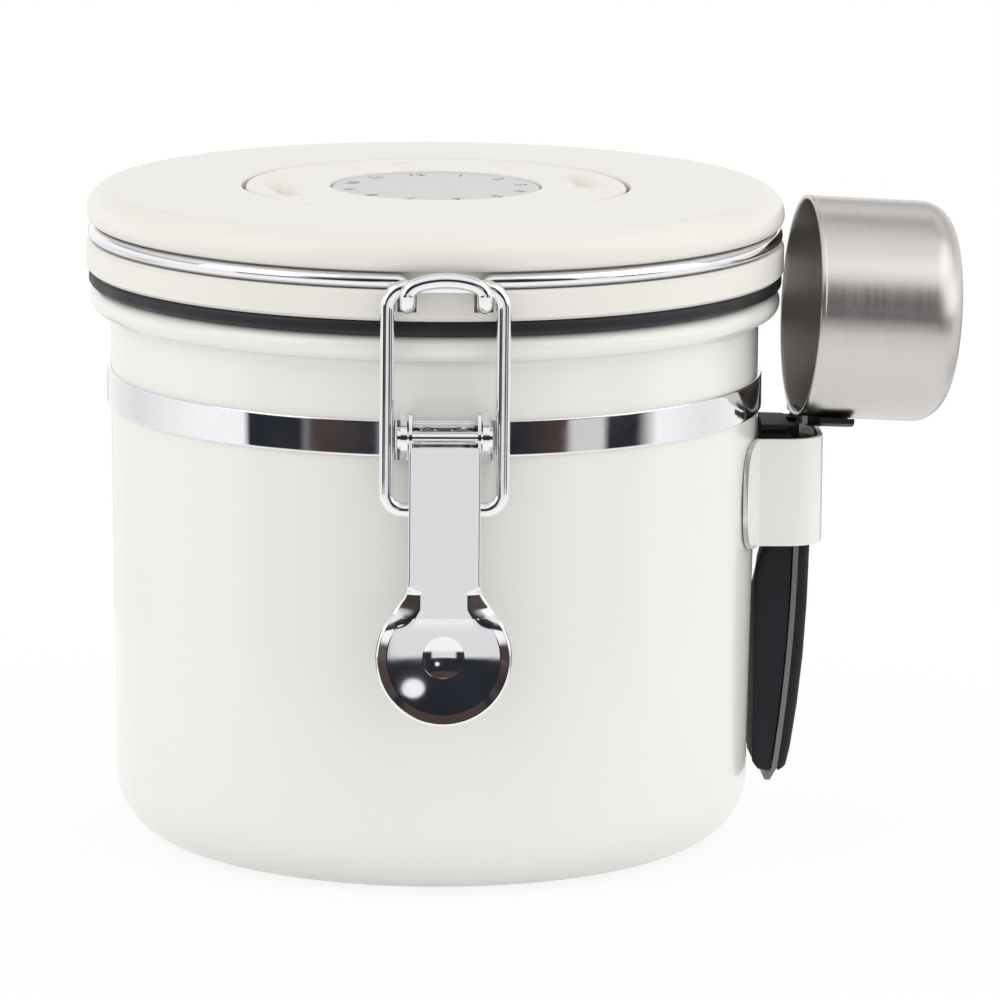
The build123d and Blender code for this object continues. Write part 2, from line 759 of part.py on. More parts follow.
def dial_ring():
    step_radius = boss_radius + ring_step_gap
    edge = ring_edge_round
    face = outline(
        Line((step_radius, ring_bottom_z), (ring_radius, ring_bottom_z)),
        Line((ring_radius, ring_bottom_z), (ring_radius, ring_top_z - edge)),
        ThreePointArc((ring_radius, ring_top_z - edge),
                      (ring_radius - edge + edge * diagonal, ring_top_z - edge + edge * diagonal),
                      (ring_radius - edge, ring_top_z)),
        Polyline((ring_radius - edge, ring_top_z), (ring_hole_radius + edge / 2, ring_top_z),
                 (ring_hole_radius, ring_top_z - edge / 2), (ring_hole_radius, ring_step_z),
                 (step_radius, ring_step_z), (step_radius, ring_bottom_z)),
    )
    ring = turned(face)
    slot = SlotOverall(grip_length, grip_width, rotation=90)
    for turn in (0, 180):
        place = Rot(0, 0, grip_azimuth + turn) * Pos(grip_centre_radius, 0, ring_top_z - grip_depth)
        hollow = extrude(slot, grip_depth + overrun)
        hollow = fillet(hollow.edges().group_by(Axis.Z)[0], grip_edge_round)
        ring -= place * hollow
    arrow = polygon([(pointer_length / 2, -pointer_width / 2), (pointer_length / 2, pointer_width / 2),
                     (-pointer_length / 2, 0)])
    place = Rot(0, 0, pointer_azimuth) * Pos(pointer_centre_radius, 0, ring_top_z - pointer_depth)
    ring -= place * extrude(arrow, pointer_depth + overrun)
    for place in around(click_count, click_radius):
        ring -= place * disc_between(click_hole_radius, ring_bottom_z - overrun,
                                     ring_bottom_z + click_hole_depth)
    return ring


def dial_detent():
    stud = disc_between(click_stud_radius, well_floor_z, well_floor_z + click_stud_height)
    stud += Pos(0, 0, well_floor_z + click_stud_height) * Sphere(click_dome_radius) & block(
        (-click_stud_radius, -click_stud_radius, well_floor_z),
        (click_stud_radius, click_stud_radius,
         well_floor_z + click_stud_height + click_dome_radius + overrun))
    return Pos(0, -click_radius, 0) * stud


def dial_retainer():
    return disc_between(retainer_radius, retainer_bottom_z, retainer_top_z)


def dial_disc():
    return disc_between(retainer_radius, retainer_top_z, retainer_top_z + disc_plate_thickness)


def valve_housing():
    floor_top_z = valve_floor_z + valve_floor_thickness
    housing = turned(polygon([
        (valve_stem_hole_radius, valve_floor_z), (valve_bore_radius, valve_floor_z),
        (valve_bore_radius, valve_bottom_z), (valve_flange_radius, valve_bottom_z),
        (valve_flange_radius, plug_bottom_z), (valve_barrel_radius, plug_bottom_z),
        (valve_barrel_radius, valve_top_z), (valve_bore_radius, valve_top_z),
        (valve_bore_radius, floor_top_z), (valve_stem_hole_radius, floor_top_z),
    ]))
    for place in around(valve_vent_count, valve_vent_circle_radius):
        housing -= place * disc_between(valve_vent_radius, valve_floor_z - overrun, floor_top_z + overrun)
    return housing


def valve_filter():
    low_z = valve_bottom_z + filter_recess
    plate = disc_between(valve_bore_radius - filter_edge_fit, low_z, low_z + filter_thickness)
    plate -= disc_between(filter_hole_radius, low_z - overrun, low_z + filter_thickness + overrun)
    for row in range(filter_rows):
        radius = filter_hole_radius + filter_row_step * (row + 1) - filter_perforation_radius
        for place in around(filter_first_row_count * (row + 1), radius):
            plate -= place * disc_between(filter_perforation_radius, low_z - overrun,
                                          low_z + filter_thickness + overrun)
    return plate


def valve_flap():
    low_z = valve_floor_z + valve_floor_thickness + flap_lift
    bulb_top_z = valve_floor_z - flap_bulb_gap
    flap = disc_between(flap_radius, low_z, low_z + flap_thickness)
    flap += disc_between(flap_stem_radius, bulb_top_z - flap_bulb_height, low_z)
    flap += disc_between(flap_bulb_radius, bulb_top_z - flap_bulb_height, bulb_top_z)
    return flap


def valve_cover():
    spigot_radius = valve_bore_radius - filter_edge_fit
    cover = disc_between(cover_radius, valve_top_z, valve_top_z + cover_thickness)
    cover += disc_between(spigot_radius, valve_top_z - cover_spigot_height, valve_top_z)
    cover -= disc_between(spigot_radius - cover_spigot_wall, valve_top_z - cover_spigot_height - overrun,
                          valve_top_z)
    for place in around(cover_hole_count, cover_hole_circle_radius):
        cover -= place * disc_between(cover_hole_radius, valve_top_z - overrun,
                                      valve_top_z + cover_thickness + overrun)
    return cover


def hinge_bracket():
    foot_y = math.sqrt((plate_inner_radius + plate_thickness / 2) ** 2 - hinge_ear_inner_x ** 2)
    low_z = band_middle_z - plate_height / 2
    foot = Polyline((foot_y, low_z), (foot_y, low_z + hinge_ear_foot_height))
    eye = Pos(hinge_y, hinge_z) * Circle(hinge_ear_round)
    profile = make_hull(foot.edges() + eye.edges())
    bracket = bracket_plate(hinge_plate_half_width, 1)
    bracket += pair_of_ears(profile, hinge_ear_inner_x, hinge_ear_thickness)
    reach = hinge_ear_inner_x + hinge_ear_thickness + overrun
    bracket -= rod_along_x(bail_wire_radius + running_fit, -reach, reach, hinge_y, hinge_z)
    bracket -= disc_between(body_radius + plate_fit, low_z - overrun, rim_top_z)
    return bracket - rivet_holes()


def scoop_strap():
    centre_x = strap_outer_x - strap_thickness / 2
    centre_y = strap_half_width - strap_thickness / 2
    root = math.asin((centre_y + strap_lead) / strap_body_radius)
    start = root + math.radians(strap_flange_angle)
    points = []
    for angle in (start, (start + root) / 2, root):
        points.append(Vector(strap_body_radius * math.cos(angle), -strap_body_radius * math.sin(angle), 0))
    reach = strap_lead / math.cos(root)
    bend = points[2] + Vector(math.sin(root), math.cos(root), 0) * reach
    half = [points[2], bend, Vector(centre_x, bend.Y, 0)]
    leg = half + [Vector(p.X, -p.Y, 0) for p in reversed(half)]
    bends = [strap_root_bend, strap_outer_bend]
    loop = FilletPolyline(*leg, radius=bends + bends[::-1])
    flange = ThreePointArc(points[0], points[1], points[2])
    other = ThreePointArc(*[Vector(p.X, -p.Y, 0) for p in points])
    path = Wire(flange.edges() + loop.edges() + other.edges())
    direction = path % 0
    section = Plane(origin=path @ 0, x_dir=(0, 0, 1), z_dir=direction) * Rectangle(strap_height,
                                                                                   strap_thickness)
    strap = Pos(0, 0, strap_bottom_z + strap_height / 2) * sweep(section, path=path)
    end_y = points[0].Y
    for side in (-1, 1):
        curve = rod_along_x(strap_end_curve_radius, 0, strap_outer_x,
                            side * (end_y + strap_end_curve_radius),
                            strap_bottom_z + strap_height / 2)
        low, high = sorted((side * (end_y - overrun), side * (end_y + 2 * overrun)))
        corner = block((0, low, strap_bottom_z - overrun), (strap_outer_x, high,
                                                            strap_bottom_z + strap_height + overrun))
        strap -= corner - curve
    return strap


def in_its_strap(shape):
    """Lean and twist a scoop piece about the middle of the clip's pin."""
    pin = Pos(clip_pin_x, 0, clip_pin_z)
    return pin * Rot(0, 0, scoop_twist) * Rot(0, scoop_lean, 0) * pin.inverse() * shape


def turned_with_cup(shape):
    """Turn a piece about the upright line through the middle of the cup's mouth."""
    middle = Pos(mouth_x, 0, cup_centre_z)
    return middle * Rot(0, 0, cup_twist) * middle.inverse() * shape


def scoop_cup():
    corner = cup_end_corner
    inner_corner = corner - cup_wall
    inner = cup_radius - cup_wall
    flat = cup_depth - cup_end_crown
    rim = cup_radius + cup_rim_width
    face = outline(
        Line((inner, 0), (rim, 0)),
        Line((rim, 0), (rim, cup_rim_length)),
        Line((rim, cup_rim_length), (cup_radius, cup_rim_length)),
        Line((cup_radius, cup_rim_length), (cup_radius, flat - corner)),
        ThreePointArc((cup_radius, flat - corner),
                      (cup_radius - corner + corner * diagonal, flat - corner + corner * diagonal),
                      (cup_radius - corner, flat)),
        Line((cup_radius - corner, flat), (0, cup_depth)),
        Line((0, cup_depth), (0, cup_depth - cup_wall)),
        Line((0, cup_depth - cup_wall), (cup_radius - corner, flat - cup_wall)),
        ThreePointArc((cup_radius - corner, flat - cup_wall),
                      (cup_radius - corner + inner_corner * diagonal,
                       flat - corner + inner_corner * diagonal),
                      (inner, flat - corner)),
        Line((inner, flat - corner), (inner, 0)),
    )
    seat = Plane(origin=(mouth_x, 0, cup_centre_z), x_dir=(0, 0, 1), z_dir=(1, 0, 0))
    return in_its_strap(turned_with_cup(seat * turned(face)))


def strip_line(offset, low_z=strip_foot_z):
    """The bent strip's line, moved sideways: straight, then a gentle arc towards the can."""
    bend_z = strip_top_z - strip_straight_length
    return [
        Line((strip_x + offset, strip_top_z), (strip_x + offset, bend_z)),
        ThreePointArc((strip_x + offset, bend_z), (strip_x + offset - strip_middle_shift, strip_middle_z),
                      (strip_x + offset - strip_foot_shift, low_z)),
    ]


def across(face, width):
    """A profile of X and Z given a width centred on Y."""
    return extrude(Plane.XZ * face, width / 2, both=True)


def handle_strip():
    half = strip_thickness / 2
    foot_left = (strip_x - half - strip_foot_shift, strip_foot_z)
    foot_right = (strip_x + half - strip_foot_shift, strip_foot_z)
    tip = (strip_x - strip_foot_shift - strip_tip_shift, strip_foot_z - strip_tip_drop)
    face = outline(
        *strip_line(half),
        Line(foot_right, (tip[0] + half, tip[1])),
        Line((tip[0] + half, tip[1]), (tip[0] - half, tip[1])),
        Line((tip[0] - half, tip[1]), foot_left),
        *strip_line(-half),
        Line((strip_x - half, strip_top_z), (strip_x + half, strip_top_z)),
    )
    strip = across(face, strip_width)
    ear_y = strip_width / 2 - clip_ear_thickness
    pin_round = Pos(clip_pin_x, clip_pin_z) * Circle(knuckle_radius)
    root = Polyline((strip_x, clip_pin_z - clip_ear_height / 2), (strip_x, clip_pin_z + clip_ear_height / 2))
    ear = across(make_hull(root.edges() + pin_round.edges()), strip_width)
    ear -= block((strip_x - overrun, -ear_y, clip_pin_z - clip_ear_height),
                 (clip_pin_x + overrun, ear_y, clip_pin_z + clip_ear_height))
    window_z = clip_pin_z - window_drop
    window_top_z = window_z + window_height
    strip -= block((strip_x - overrun, -window_half_width, window_z),
                   (strip_x + overrun, window_half_width, window_top_z))
    strip -= block((strip_x - overrun, -strip_width, window_top_z), (strip_x + overrun, strip_width,
                                                                     strip_top_z))
    bar = block((strip_x - half, -strip_width / 2, window_top_z), (strip_x + half, strip_width / 2,
                                                                   strip_top_z))
    strip += ear + turned_with_cup(bar)
    strip -= rod_along_y(clip_pin_radius + rivet_fit, -strip_width, strip_width, clip_pin_x, clip_pin_z)
    for z in (grip_rivet_top_z, grip_rivet_low_z):
        strip -= rod_along_x(grip_rivet_radius + rivet_fit, strip_x - 2 * overrun, strip_x + 2 * overrun, 0,
                             z)
    return in_its_strap(strip)


def handle_cover():
    half = strip_thickness / 2
    top_z = clip_pin_z - cover_top_drop
    line = strip_line(half)
    face = outline(
        *line,
        Line((strip_x + half - strip_foot_shift, strip_foot_z), (cover_foot_x, cover_foot_z)),
        ThreePointArc((cover_foot_x, cover_foot_z), (cover_low_x, cover_low_z), (cover_middle_x,
                                                                                 cover_middle_z)),
        Line((cover_middle_x, cover_middle_z), (cover_top_x, top_z)),
        Line((cover_top_x, top_z), (cover_top_x, strip_top_z)),
        Line((cover_top_x, strip_top_z), (strip_x + half, strip_top_z)),
    )
    cover = across(face, cover_width)
    cover -= block((strip_x, -cover_width, top_z), (cover_top_x + overrun, cover_width,
                                                    strip_top_z + overrun))
    for z in (grip_rivet_top_z, grip_rivet_low_z):
        cover -= rod_along_x(grip_rivet_radius + rivet_fit, strip_x, cover_top_x + overrun, 0, z)
    return in_its_strap(cover)


def cover_surface_x(z):
    """How far out the cover's outer side lies at a height above its curved foot."""
    top_z = clip_pin_z - cover_top_drop
    share = (z - cover_middle_z) / (top_z - cover_middle_z)
    return cover_middle_x + (cover_top_x - cover_middle_x) * share


def cover_rivets():
    rivets = []
    bend_z = strip_top_z - strip_straight_length
    for z in (grip_rivet_top_z, grip_rivet_low_z):
        fall = max(0.0, (bend_z - z) / (bend_z - strip_foot_z))
        start_x = strip_x - strip_thickness / 2 - strip_foot_shift * fall ** 2 + grip_rivet_inset
        surface = cover_surface_x(z) + grip_rivet_seat
        shank = rod_along_x(grip_rivet_radius, start_x, surface, 0, z)
        head = rod_along_x(grip_rivet_head_radius, surface, surface + grip_rivet_head_height, 0, z)
        rivets.append(in_its_strap(shank + head))
    return rivets


def clip_pin():
    reach = strip_width / 2
    pin = rod_along_y(clip_pin_radius, -reach, reach, clip_pin_x, clip_pin_z)
    for side in (-1, 1):
        low, high = sorted((side * reach, side * (reach + clip_pin_head_height)))
        pin += rod_along_y(clip_pin_head_radius, low, high, clip_pin_x, clip_pin_z)
    return in_its_strap(pin)


def clip_spring():
    length = 2 * (knuckle_inner_y - jaw_gap - spring_wire_radius)
    coil = Helix(pitch=length / spring_turns, height=length, radius=spring_coil_radius)
    wire = wire_along(coil, spring_wire_radius)
    gap = length / spring_turns - 2 * spring_wire_radius
    print("clip spring: least gap between turns %.2f mm" % gap)
    place = Pos(clip_pin_x, -length / 2, clip_pin_z) * Rot(-90, 0, 0)
    return in_its_strap(place * wire)


def room_for_can():
    """The can and its band grown by the jaw's gap, and swept down by the scoop's travel."""
    wall = body_radius + jaw_gap
    band = band_outer_radius + jaw_gap
    straight_z = straight_bottom_z - scoop_travel
    band_z = band_bottom_z - scoop_travel - jaw_gap
    base = wall - body_draft * (straight_z - base_corner_radius) / (straight_bottom_z - base_corner_radius)
    return turned(polygon([
        (0, 0), (base, 0), (base, base_corner_radius), (wall, straight_z), (wall, band_z), (band, band_z),
        (band, rim_bottom_z), (0, rim_bottom_z),
    ]))


def turned_about_pin(shape, angle):
    """Turn a piece about the clip's pin where it hangs; a positive angle opens the jaw."""
    pin = Pos(clip_pin_x, 0, clip_pin_z)
    return pin * Rot(0, 0, scoop_twist) * Rot(0, angle, 0) * Rot(0, 0, -scoop_twist) * pin.inverse() * shape


def clip_jaw():
    side = -strip_thickness / 2 - jaw_gap
    top_z = clip_pin_z + jaw_top_rise
    foot_x = strip_x + side - strip_foot_shift
    face = outline(
        Line((jaw_top_x, top_z), (jaw_waist_x, jaw_waist_z)),
        Line((jaw_waist_x, jaw_waist_z), (jaw_hip_x, jaw_hip_z)),
        ThreePointArc((jaw_hip_x, jaw_hip_z), (jaw_low_x, jaw_low_z), (jaw_toe_x, jaw_toe_z)),
        Line((jaw_toe_x, jaw_toe_z), (jaw_foot_x, jaw_foot_z)),
        Line((jaw_foot_x, jaw_foot_z), (foot_x, strip_foot_z)),
        *strip_line(side),
        Line((strip_x + side, strip_top_z), (strip_x + side, top_z)),
        Line((strip_x + side, top_z), (jaw_top_x, top_z)),
    )
    jaw = across(face, jaw_width)
    face_x = strip_x + side
    relief = polygon([
        (face_x + overrun, clip_pin_z), (face_x, clip_pin_z),
        (face_x - jaw_relief, clip_pin_z + jaw_relief_rise), (face_x - jaw_relief, top_z + overrun),
        (face_x + overrun, top_z + overrun),
    ])
    jaw -= across(relief, jaw_width + overrun)
    inner = cup_radius + cup_rim_width + tab_gap
    tab_ring = rod_along_x(inner + tab_thickness, clip_pin_x, clip_pin_x + tab_length, 0, cup_centre_z)
    tab_ring -= rod_along_x(inner, clip_pin_x - overrun, clip_pin_x + tab_length + overrun, 0, cup_centre_z)
    tab = tab_ring & block((clip_pin_x, -tab_half_width, clip_pin_z - overrun),
                           (clip_pin_x + tab_length + overrun, tab_half_width, cup_centre_z))
    tab -= rod_along_y(knuckle_radius + jaw_gap, -knuckle_inner_y, knuckle_inner_y, clip_pin_x, clip_pin_z)
    for side_y in (-1, 1):
        low, high = sorted((side_y * knuckle_inner_y, side_y * knuckle_outer_y))
        knuckle = rod_along_y(knuckle_radius, low, high, clip_pin_x, clip_pin_z)
        arm = block((face_x - jaw_relief, low, clip_pin_z - arm_height / 2),
                    (clip_pin_x, high, clip_pin_z + arm_height / 2))
        ear_low, ear_high = sorted((side_y * knuckle_outer_y, side_y * (strip_width / 2 + overrun)))
        tab -= block((clip_pin_x - overrun, ear_low, clip_pin_z - overrun),
                     (clip_pin_x + knuckle_radius + jaw_gap, ear_high, cup_centre_z))
        jaw += knuckle + arm
    jaw += tab
    jaw -= rod_along_y(clip_pin_radius + running_fit, -strip_width, strip_width, clip_pin_x, clip_pin_z)
    room = room_for_can()
    return in_its_strap(jaw) - room - turned_about_pin(room, -jaw_opening)


def write(name, shape):
    """Write one node: a single solid, or a group of separate ones."""
    solids = shape if isinstance(shape, list) else [shape]
    solids = [solid for item in solids for solid in item.solids()]
    node = solids[0] if len(solids) == 1 else Compound(children=solids)
    export_step(node, "parts/%s.step" % name)
    print("%-16s solids %d volume %.1f" % (name, len(solids), sum(solid.volume for solid in solids)))


def main():
    os.makedirs("parts", exist_ok=True)
    pieces = [
        canister_body, clamp_band, latch_bracket, latch_pin, hinge_bracket, band_rivets, scoop_strap,
        lid_cap, lid_base, gasket, bail_wire, lid_screws, dial_retainer, dial_disc, dial_detent,
        valve_housing, valve_cover, valve_filter, valve_flap, dial_ring, latch_lever, latch_loop,
        scoop_cup, handle_strip, handle_cover, cover_rivets, clip_pin, clip_spring, clip_jaw,
    ]
    for piece in pieces:
        write(piece.__name__, piece())


main()
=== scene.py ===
import logging
import math
from dataclasses import dataclass, field
from enum import Enum

import bmesh
import bpy
import numpy as np
from mathutils import Matrix, Vector


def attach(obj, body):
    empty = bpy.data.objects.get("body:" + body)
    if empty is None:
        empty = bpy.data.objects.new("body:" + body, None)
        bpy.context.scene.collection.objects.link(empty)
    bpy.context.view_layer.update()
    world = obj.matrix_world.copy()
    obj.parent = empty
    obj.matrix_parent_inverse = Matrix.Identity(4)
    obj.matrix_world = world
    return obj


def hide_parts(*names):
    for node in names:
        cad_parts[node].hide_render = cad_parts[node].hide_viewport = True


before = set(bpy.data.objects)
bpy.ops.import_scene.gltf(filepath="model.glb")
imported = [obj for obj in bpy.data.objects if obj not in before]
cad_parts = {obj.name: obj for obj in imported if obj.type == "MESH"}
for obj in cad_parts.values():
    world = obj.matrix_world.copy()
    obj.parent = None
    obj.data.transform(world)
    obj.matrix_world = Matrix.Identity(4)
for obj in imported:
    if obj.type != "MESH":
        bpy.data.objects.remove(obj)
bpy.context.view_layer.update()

logging.basicConfig(level=logging.INFO, format="%(message)s")
log = logging.getLogger("canister")

MM = 0.001
Array = np.ndarray
Socket = bpy.types.NodeSocket
Material = bpy.types.Material
NAVY = (0.02, 0.022, 0.03)
UMBER = (0.075, 0.05, 0.045)
WHITE = (1.0, 1.0, 1.0)
# Fineness: faces round a large piece and round a wire, longest run of a wire and of an edge
ROUND = 256
WIRE_SIDES = 24
WIRE_STEP = 2.5 * MM
EDGE_STEP = 0.4 * MM


class Sheen(Enum):
    """How strongly a moulded surface shines."""

    RUBBERY = (0.5, 0.6)
    SATIN = (0.42, 0.5)
    GLOSS = (0.285, 0.36)


class Side(Enum):
    """Front or back of the can, as the sign of Y."""

    FRONT = -1
    BACK = 1


@dataclass
class Surface:
    """Points with the faces that join them, and one pair of map coordinates for each point."""

    points: Array
    quads: Array
    caps: list[list[int]] = field(default_factory=list)
    uv: Array | None = None

    def moved(self, points: Array) -> "Surface":
        """The same faces on other points."""
        return Surface(points.reshape(-1, 3), self.quads, self.caps, self.uv)


def stacked(*columns: Array | float) -> Array:
    """Put coordinates side by side in a last axis, a constant or a row repeated as needed."""
    return np.stack(np.broadcast_arrays(*columns), -1)


def unit(rows: Array) -> Array:
    """The directions of vectors, each over its own length."""
    return rows / np.linalg.norm(rows, axis=-1, keepdims=True)


def spun(first: Array, second: Array, degrees: float) -> tuple[Array, Array]:
    """Turn pairs (a, b) by an angle t: a cos t - b sin t, and a sin t + b cos t."""
    c, s = math.cos(math.radians(degrees)), math.sin(math.radians(degrees))
    return first * c - second * s, first * s + second * c


def grid(points: Array, wrap_u: bool = False, wrap_v: bool = False, cap: bool = False) -> Surface:
    """Join a grid of points into four-sided faces.

    Each face joins (i, j), (i+1, j), (i+1, j+1) and (i, j+1); a wrapped direction also joins last to first.

    Args:
        points: array of shape (U, V, 3).
        wrap_u: join the last row to the first.
        wrap_v: join the last column to the first.
        cap: close the first and the last row with one flat face each.

    Returns:
        The surface, with the row share and the column share as map coordinates.
    """
    rows, columns = points.shape[:2]
    index = np.arange(rows * columns).reshape(rows, columns)
    if wrap_u:
        index = np.vstack([index, index[:1]])
    if wrap_v:
        index = np.hstack([index, index[:, :1]])
    quads = stacked(index[:-1, :-1], index[1:, :-1], index[1:, 1:], index[:-1, 1:]).reshape(-1, 4)
    caps = [list(range(columns)), list(range((rows - 1) * columns, rows * columns))] if cap else []
    uv = stacked(np.linspace(0, 1, rows)[:, None], np.linspace(0, 1, columns)).reshape(-1, 2)
    return Surface(points.reshape(-1, 3), quads, caps, uv)


def joined(*surfaces: Surface) -> Surface:
    """Put several surfaces into one mesh.

    Args:
        surfaces: closed surfaces that stay separate shells.

    Returns:
        One surface with all points and faces.
    """
    start, points, quads, caps, uv = 0, [], [], [], []
    for surface in surfaces:
        points.append(surface.points)
        quads.append(surface.quads + start)
        caps += [[i + start for i in cap] for cap in surface.caps]
        uv.append(surface.uv if surface.uv is not None else np.zeros((len(surface.points), 2)))
        start += len(surface.points)
    return Surface(np.vstack(points), np.vstack(quads), caps, np.vstack(uv))


def arc(centre: tuple[float, float], radius: float, start: float, end: float, steps: int = 12) -> Array:
    """Points of a circle's arc: centre plus radius times (cos, sin) of angles in degrees."""
    angle = np.radians(np.linspace(start, end, steps + 1))
    return stacked(centre[0] + radius * np.cos(angle), centre[1] + radius * np.sin(angle))


def rounded(corners: Array, radii: float | list[float], closed: bool = False, steps: int = 8) -> Array:
    """A line through corners, with each corner replaced by an arc.

    At a corner the arc touches both runs at radius / tan(half the angle between them), and its
    points turn evenly from one touching point to the other about the arc's centre.

    Args:
        corners: array of shape (N, 2) or (N, 3).
        radii: one radius, or one for each corner; 0 keeps the corner sharp.
        closed: join the last corner to the first.
        steps: divisions of each arc.

    Returns:
        The points of the rounded line.
    """
    corners = np.asarray(corners, float)
    count = len(corners)
    radius = np.broadcast_to(np.asarray(radii, float), (count,))
    line = []
    for i, point in enumerate(corners):
        if radius[i] <= 0 or (not closed and i in (0, count - 1)):
            line.append(point[None])
            continue
        back, ahead = unit(corners[i - 1] - point), unit(corners[(i + 1) % count] - point)
        half = math.acos(float(np.clip(back @ ahead, -1, 1))) / 2
        centre = point + unit(back + ahead) * radius[i] / math.sin(half)
        first = point + back * radius[i] / math.tan(half) - centre
        last = point + ahead * radius[i] / math.tan(half) - centre
        turn = math.pi - 2 * half
        share = np.linspace(0, 1, steps + 1)[:, None]
        spread = first * np.sin((1 - share) * turn) + last * np.sin(share * turn)
        line.append(centre + spread / math.sin(turn))
    return np.vstack(line)


def even(line: Array, step: float, closed: bool = False) -> Array:
    """Add points to a line or a closed loop so that none of its runs is longer than a step."""
    if closed:
        return even(np.vstack([line, line[:1]]), step)[:-1]
    lengths = np.linalg.norm(np.diff(line, axis=0), axis=1)
    parts = np.maximum(1, np.ceil(lengths / step).astype(int))
    share = np.concatenate([np.arange(n) / n for n in parts])
    base = np.repeat(np.arange(len(parts)), parts)
    points = line[base] + (line[base + 1] - line[base]) * share[:, None]
    return np.vstack([points, line[-1:]])


def band_loop(inner: float, outer: float, low: float, high: float, edge: float, steps: int = 8) -> Array:
    """The section of a flat ring as radius and height, with its two outer edges rounded."""
    corners = [[inner, low], [outer, low], [outer, high], [inner, high]]
    return rounded(corners, [0, edge, edge, 0], closed=True, steps=steps)


def revolved(profile: Array, segments: int = 192, closed: bool = False) -> Surface:
    """Turn a profile of radius and height about the Z axis.

    A point (r, z) becomes (r sin a, -r cos a, z) for every angle a of a full turn, so that the
    seam lies in front. An open profile starts and ends on the axis, where its poles are single points.

    Args:
        profile: array of (r, z).
        segments: divisions of the turn.
        closed: the profile is a loop that stays off the axis.

    Returns:
        A closed surface.
    """
    angle = np.linspace(0, 2 * math.pi, segments, endpoint=False)
    inner = profile if closed else profile[1:-1]
    r, z = inner[:, :1], inner[:, 1:]
    surface = grid(stacked(r * np.sin(angle), -r * np.cos(angle), z), wrap_u=closed, wrap_v=True)
    if closed:
        return surface
    count = len(surface.points)
    poles = np.array([[0, 0, profile[0, 1]], [0, 0, profile[-1, 1]]])
    turn = np.arange(segments)
    after = (turn + 1) % segments
    last = count - segments
    fans = np.vstack([stacked(count, turn, after), stacked(count + 1, after + last, turn + last)])
    uv = np.vstack([surface.uv, [[0, 0], [1, 0]]])
    return Surface(np.vstack([surface.points, poles]), surface.quads, fans.tolist(), uv)


def tube(path: Array, radius: float, sides: int = 20) -> Surface:
    """A round wire along a path.

    The tangent is the path's central difference. The cross direction starts square to the first
    tangent and loses its part along each next tangent, and the ring is radius times
    (cross cos a + other sin a) about each point.

    Args:
        path: array of shape (N, 3).
        radius: the wire's radius.
        sides: points round the wire.

    Returns:
        A closed surface with flat ends.
    """
    tangent = unit(np.gradient(path, axis=0))
    current = np.eye(3)[2 if abs(tangent[0, 2]) < 0.9 else 0]
    cross = np.empty_like(path)
    for i, direction in enumerate(tangent):
        current = unit(current - direction * (current @ direction))
        cross[i] = current
    other = np.cross(tangent, cross)
    angle = np.linspace(0, 2 * math.pi, sides, endpoint=False)
    ring = cross[:, None] * np.cos(angle)[None, :, None] + other[:, None] * np.sin(angle)[None, :, None]
    return grid(path[:, None] + radius * ring, wrap_v=True, cap=True)


def slab(outline: Array, low: float, high: float) -> Surface:
    """An outline of X and Z carried across Y from low to high, with flat ends."""
    return grid(stacked(outline[:, 0], np.array([[low], [high]]), outline[:, 1]), wrap_v=True, cap=True)


def upright(outline: Array, low: float, high: float) -> Surface:
    """An outline of Y and Z carried along X from low to high, with flat ends."""
    surface = slab(outline, low, high)
    return surface.moved(surface.points[:, [1, 0, 2]])


def cushion(outline: Array, low: float, high: float, soft: float, weight: Array) -> Surface:
    """A closed outline of X and Z carried across Y, with soft rims at both ends.

    Over the last stretch of length R at each end, a point moves against the outline's outward
    normal by R - sqrt(R^2 - d^2), times its weight, d being how far the station lies inside it.

    Args:
        outline: array of (x, z), in order round the shape.
        low: first station's Y.
        high: last station's Y.
        soft: R, the length and the depth of the soft rim.
        weight: 0 to 1 for each point of the outline.

    Returns:
        A closed surface.
    """
    turn = np.linspace(0, math.pi / 2, 9)
    start = low + soft * (1 - np.sin(turn))[::-1]
    middle = np.linspace(low + soft, high - soft, 11)[1:-1]
    across = np.concatenate([start, middle, (low + high - start)[::-1]])
    inside = np.maximum(np.maximum(low + soft - across, across - high + soft), 0)
    inset = soft - np.sqrt(np.maximum(soft ** 2 - inside ** 2, 0))
    along = unit(np.roll(outline, -1, axis=0) - np.roll(outline, 1, axis=0))
    x, z = outline[:, 0], outline[:, 1]
    area = float(np.sum(x * np.roll(z, -1) - z * np.roll(x, -1)))
    outward = stacked(along[:, 1], -along[:, 0]) * math.copysign(1, area)
    moved = outline[None] - outward[None] * (inset[:, None] * weight[None])[..., None]
    return grid(stacked(moved[..., 0], across[:, None], moved[..., 1]), wrap_v=True, cap=True)


def smooth_step(value: Array, low: float, high: float) -> Array:
    """0 below low, 1 above high, and 3t^2 - 2t^3 between."""
    share = np.clip((value - low) / (high - low), 0, 1)
    return share * share * (3 - 2 * share)


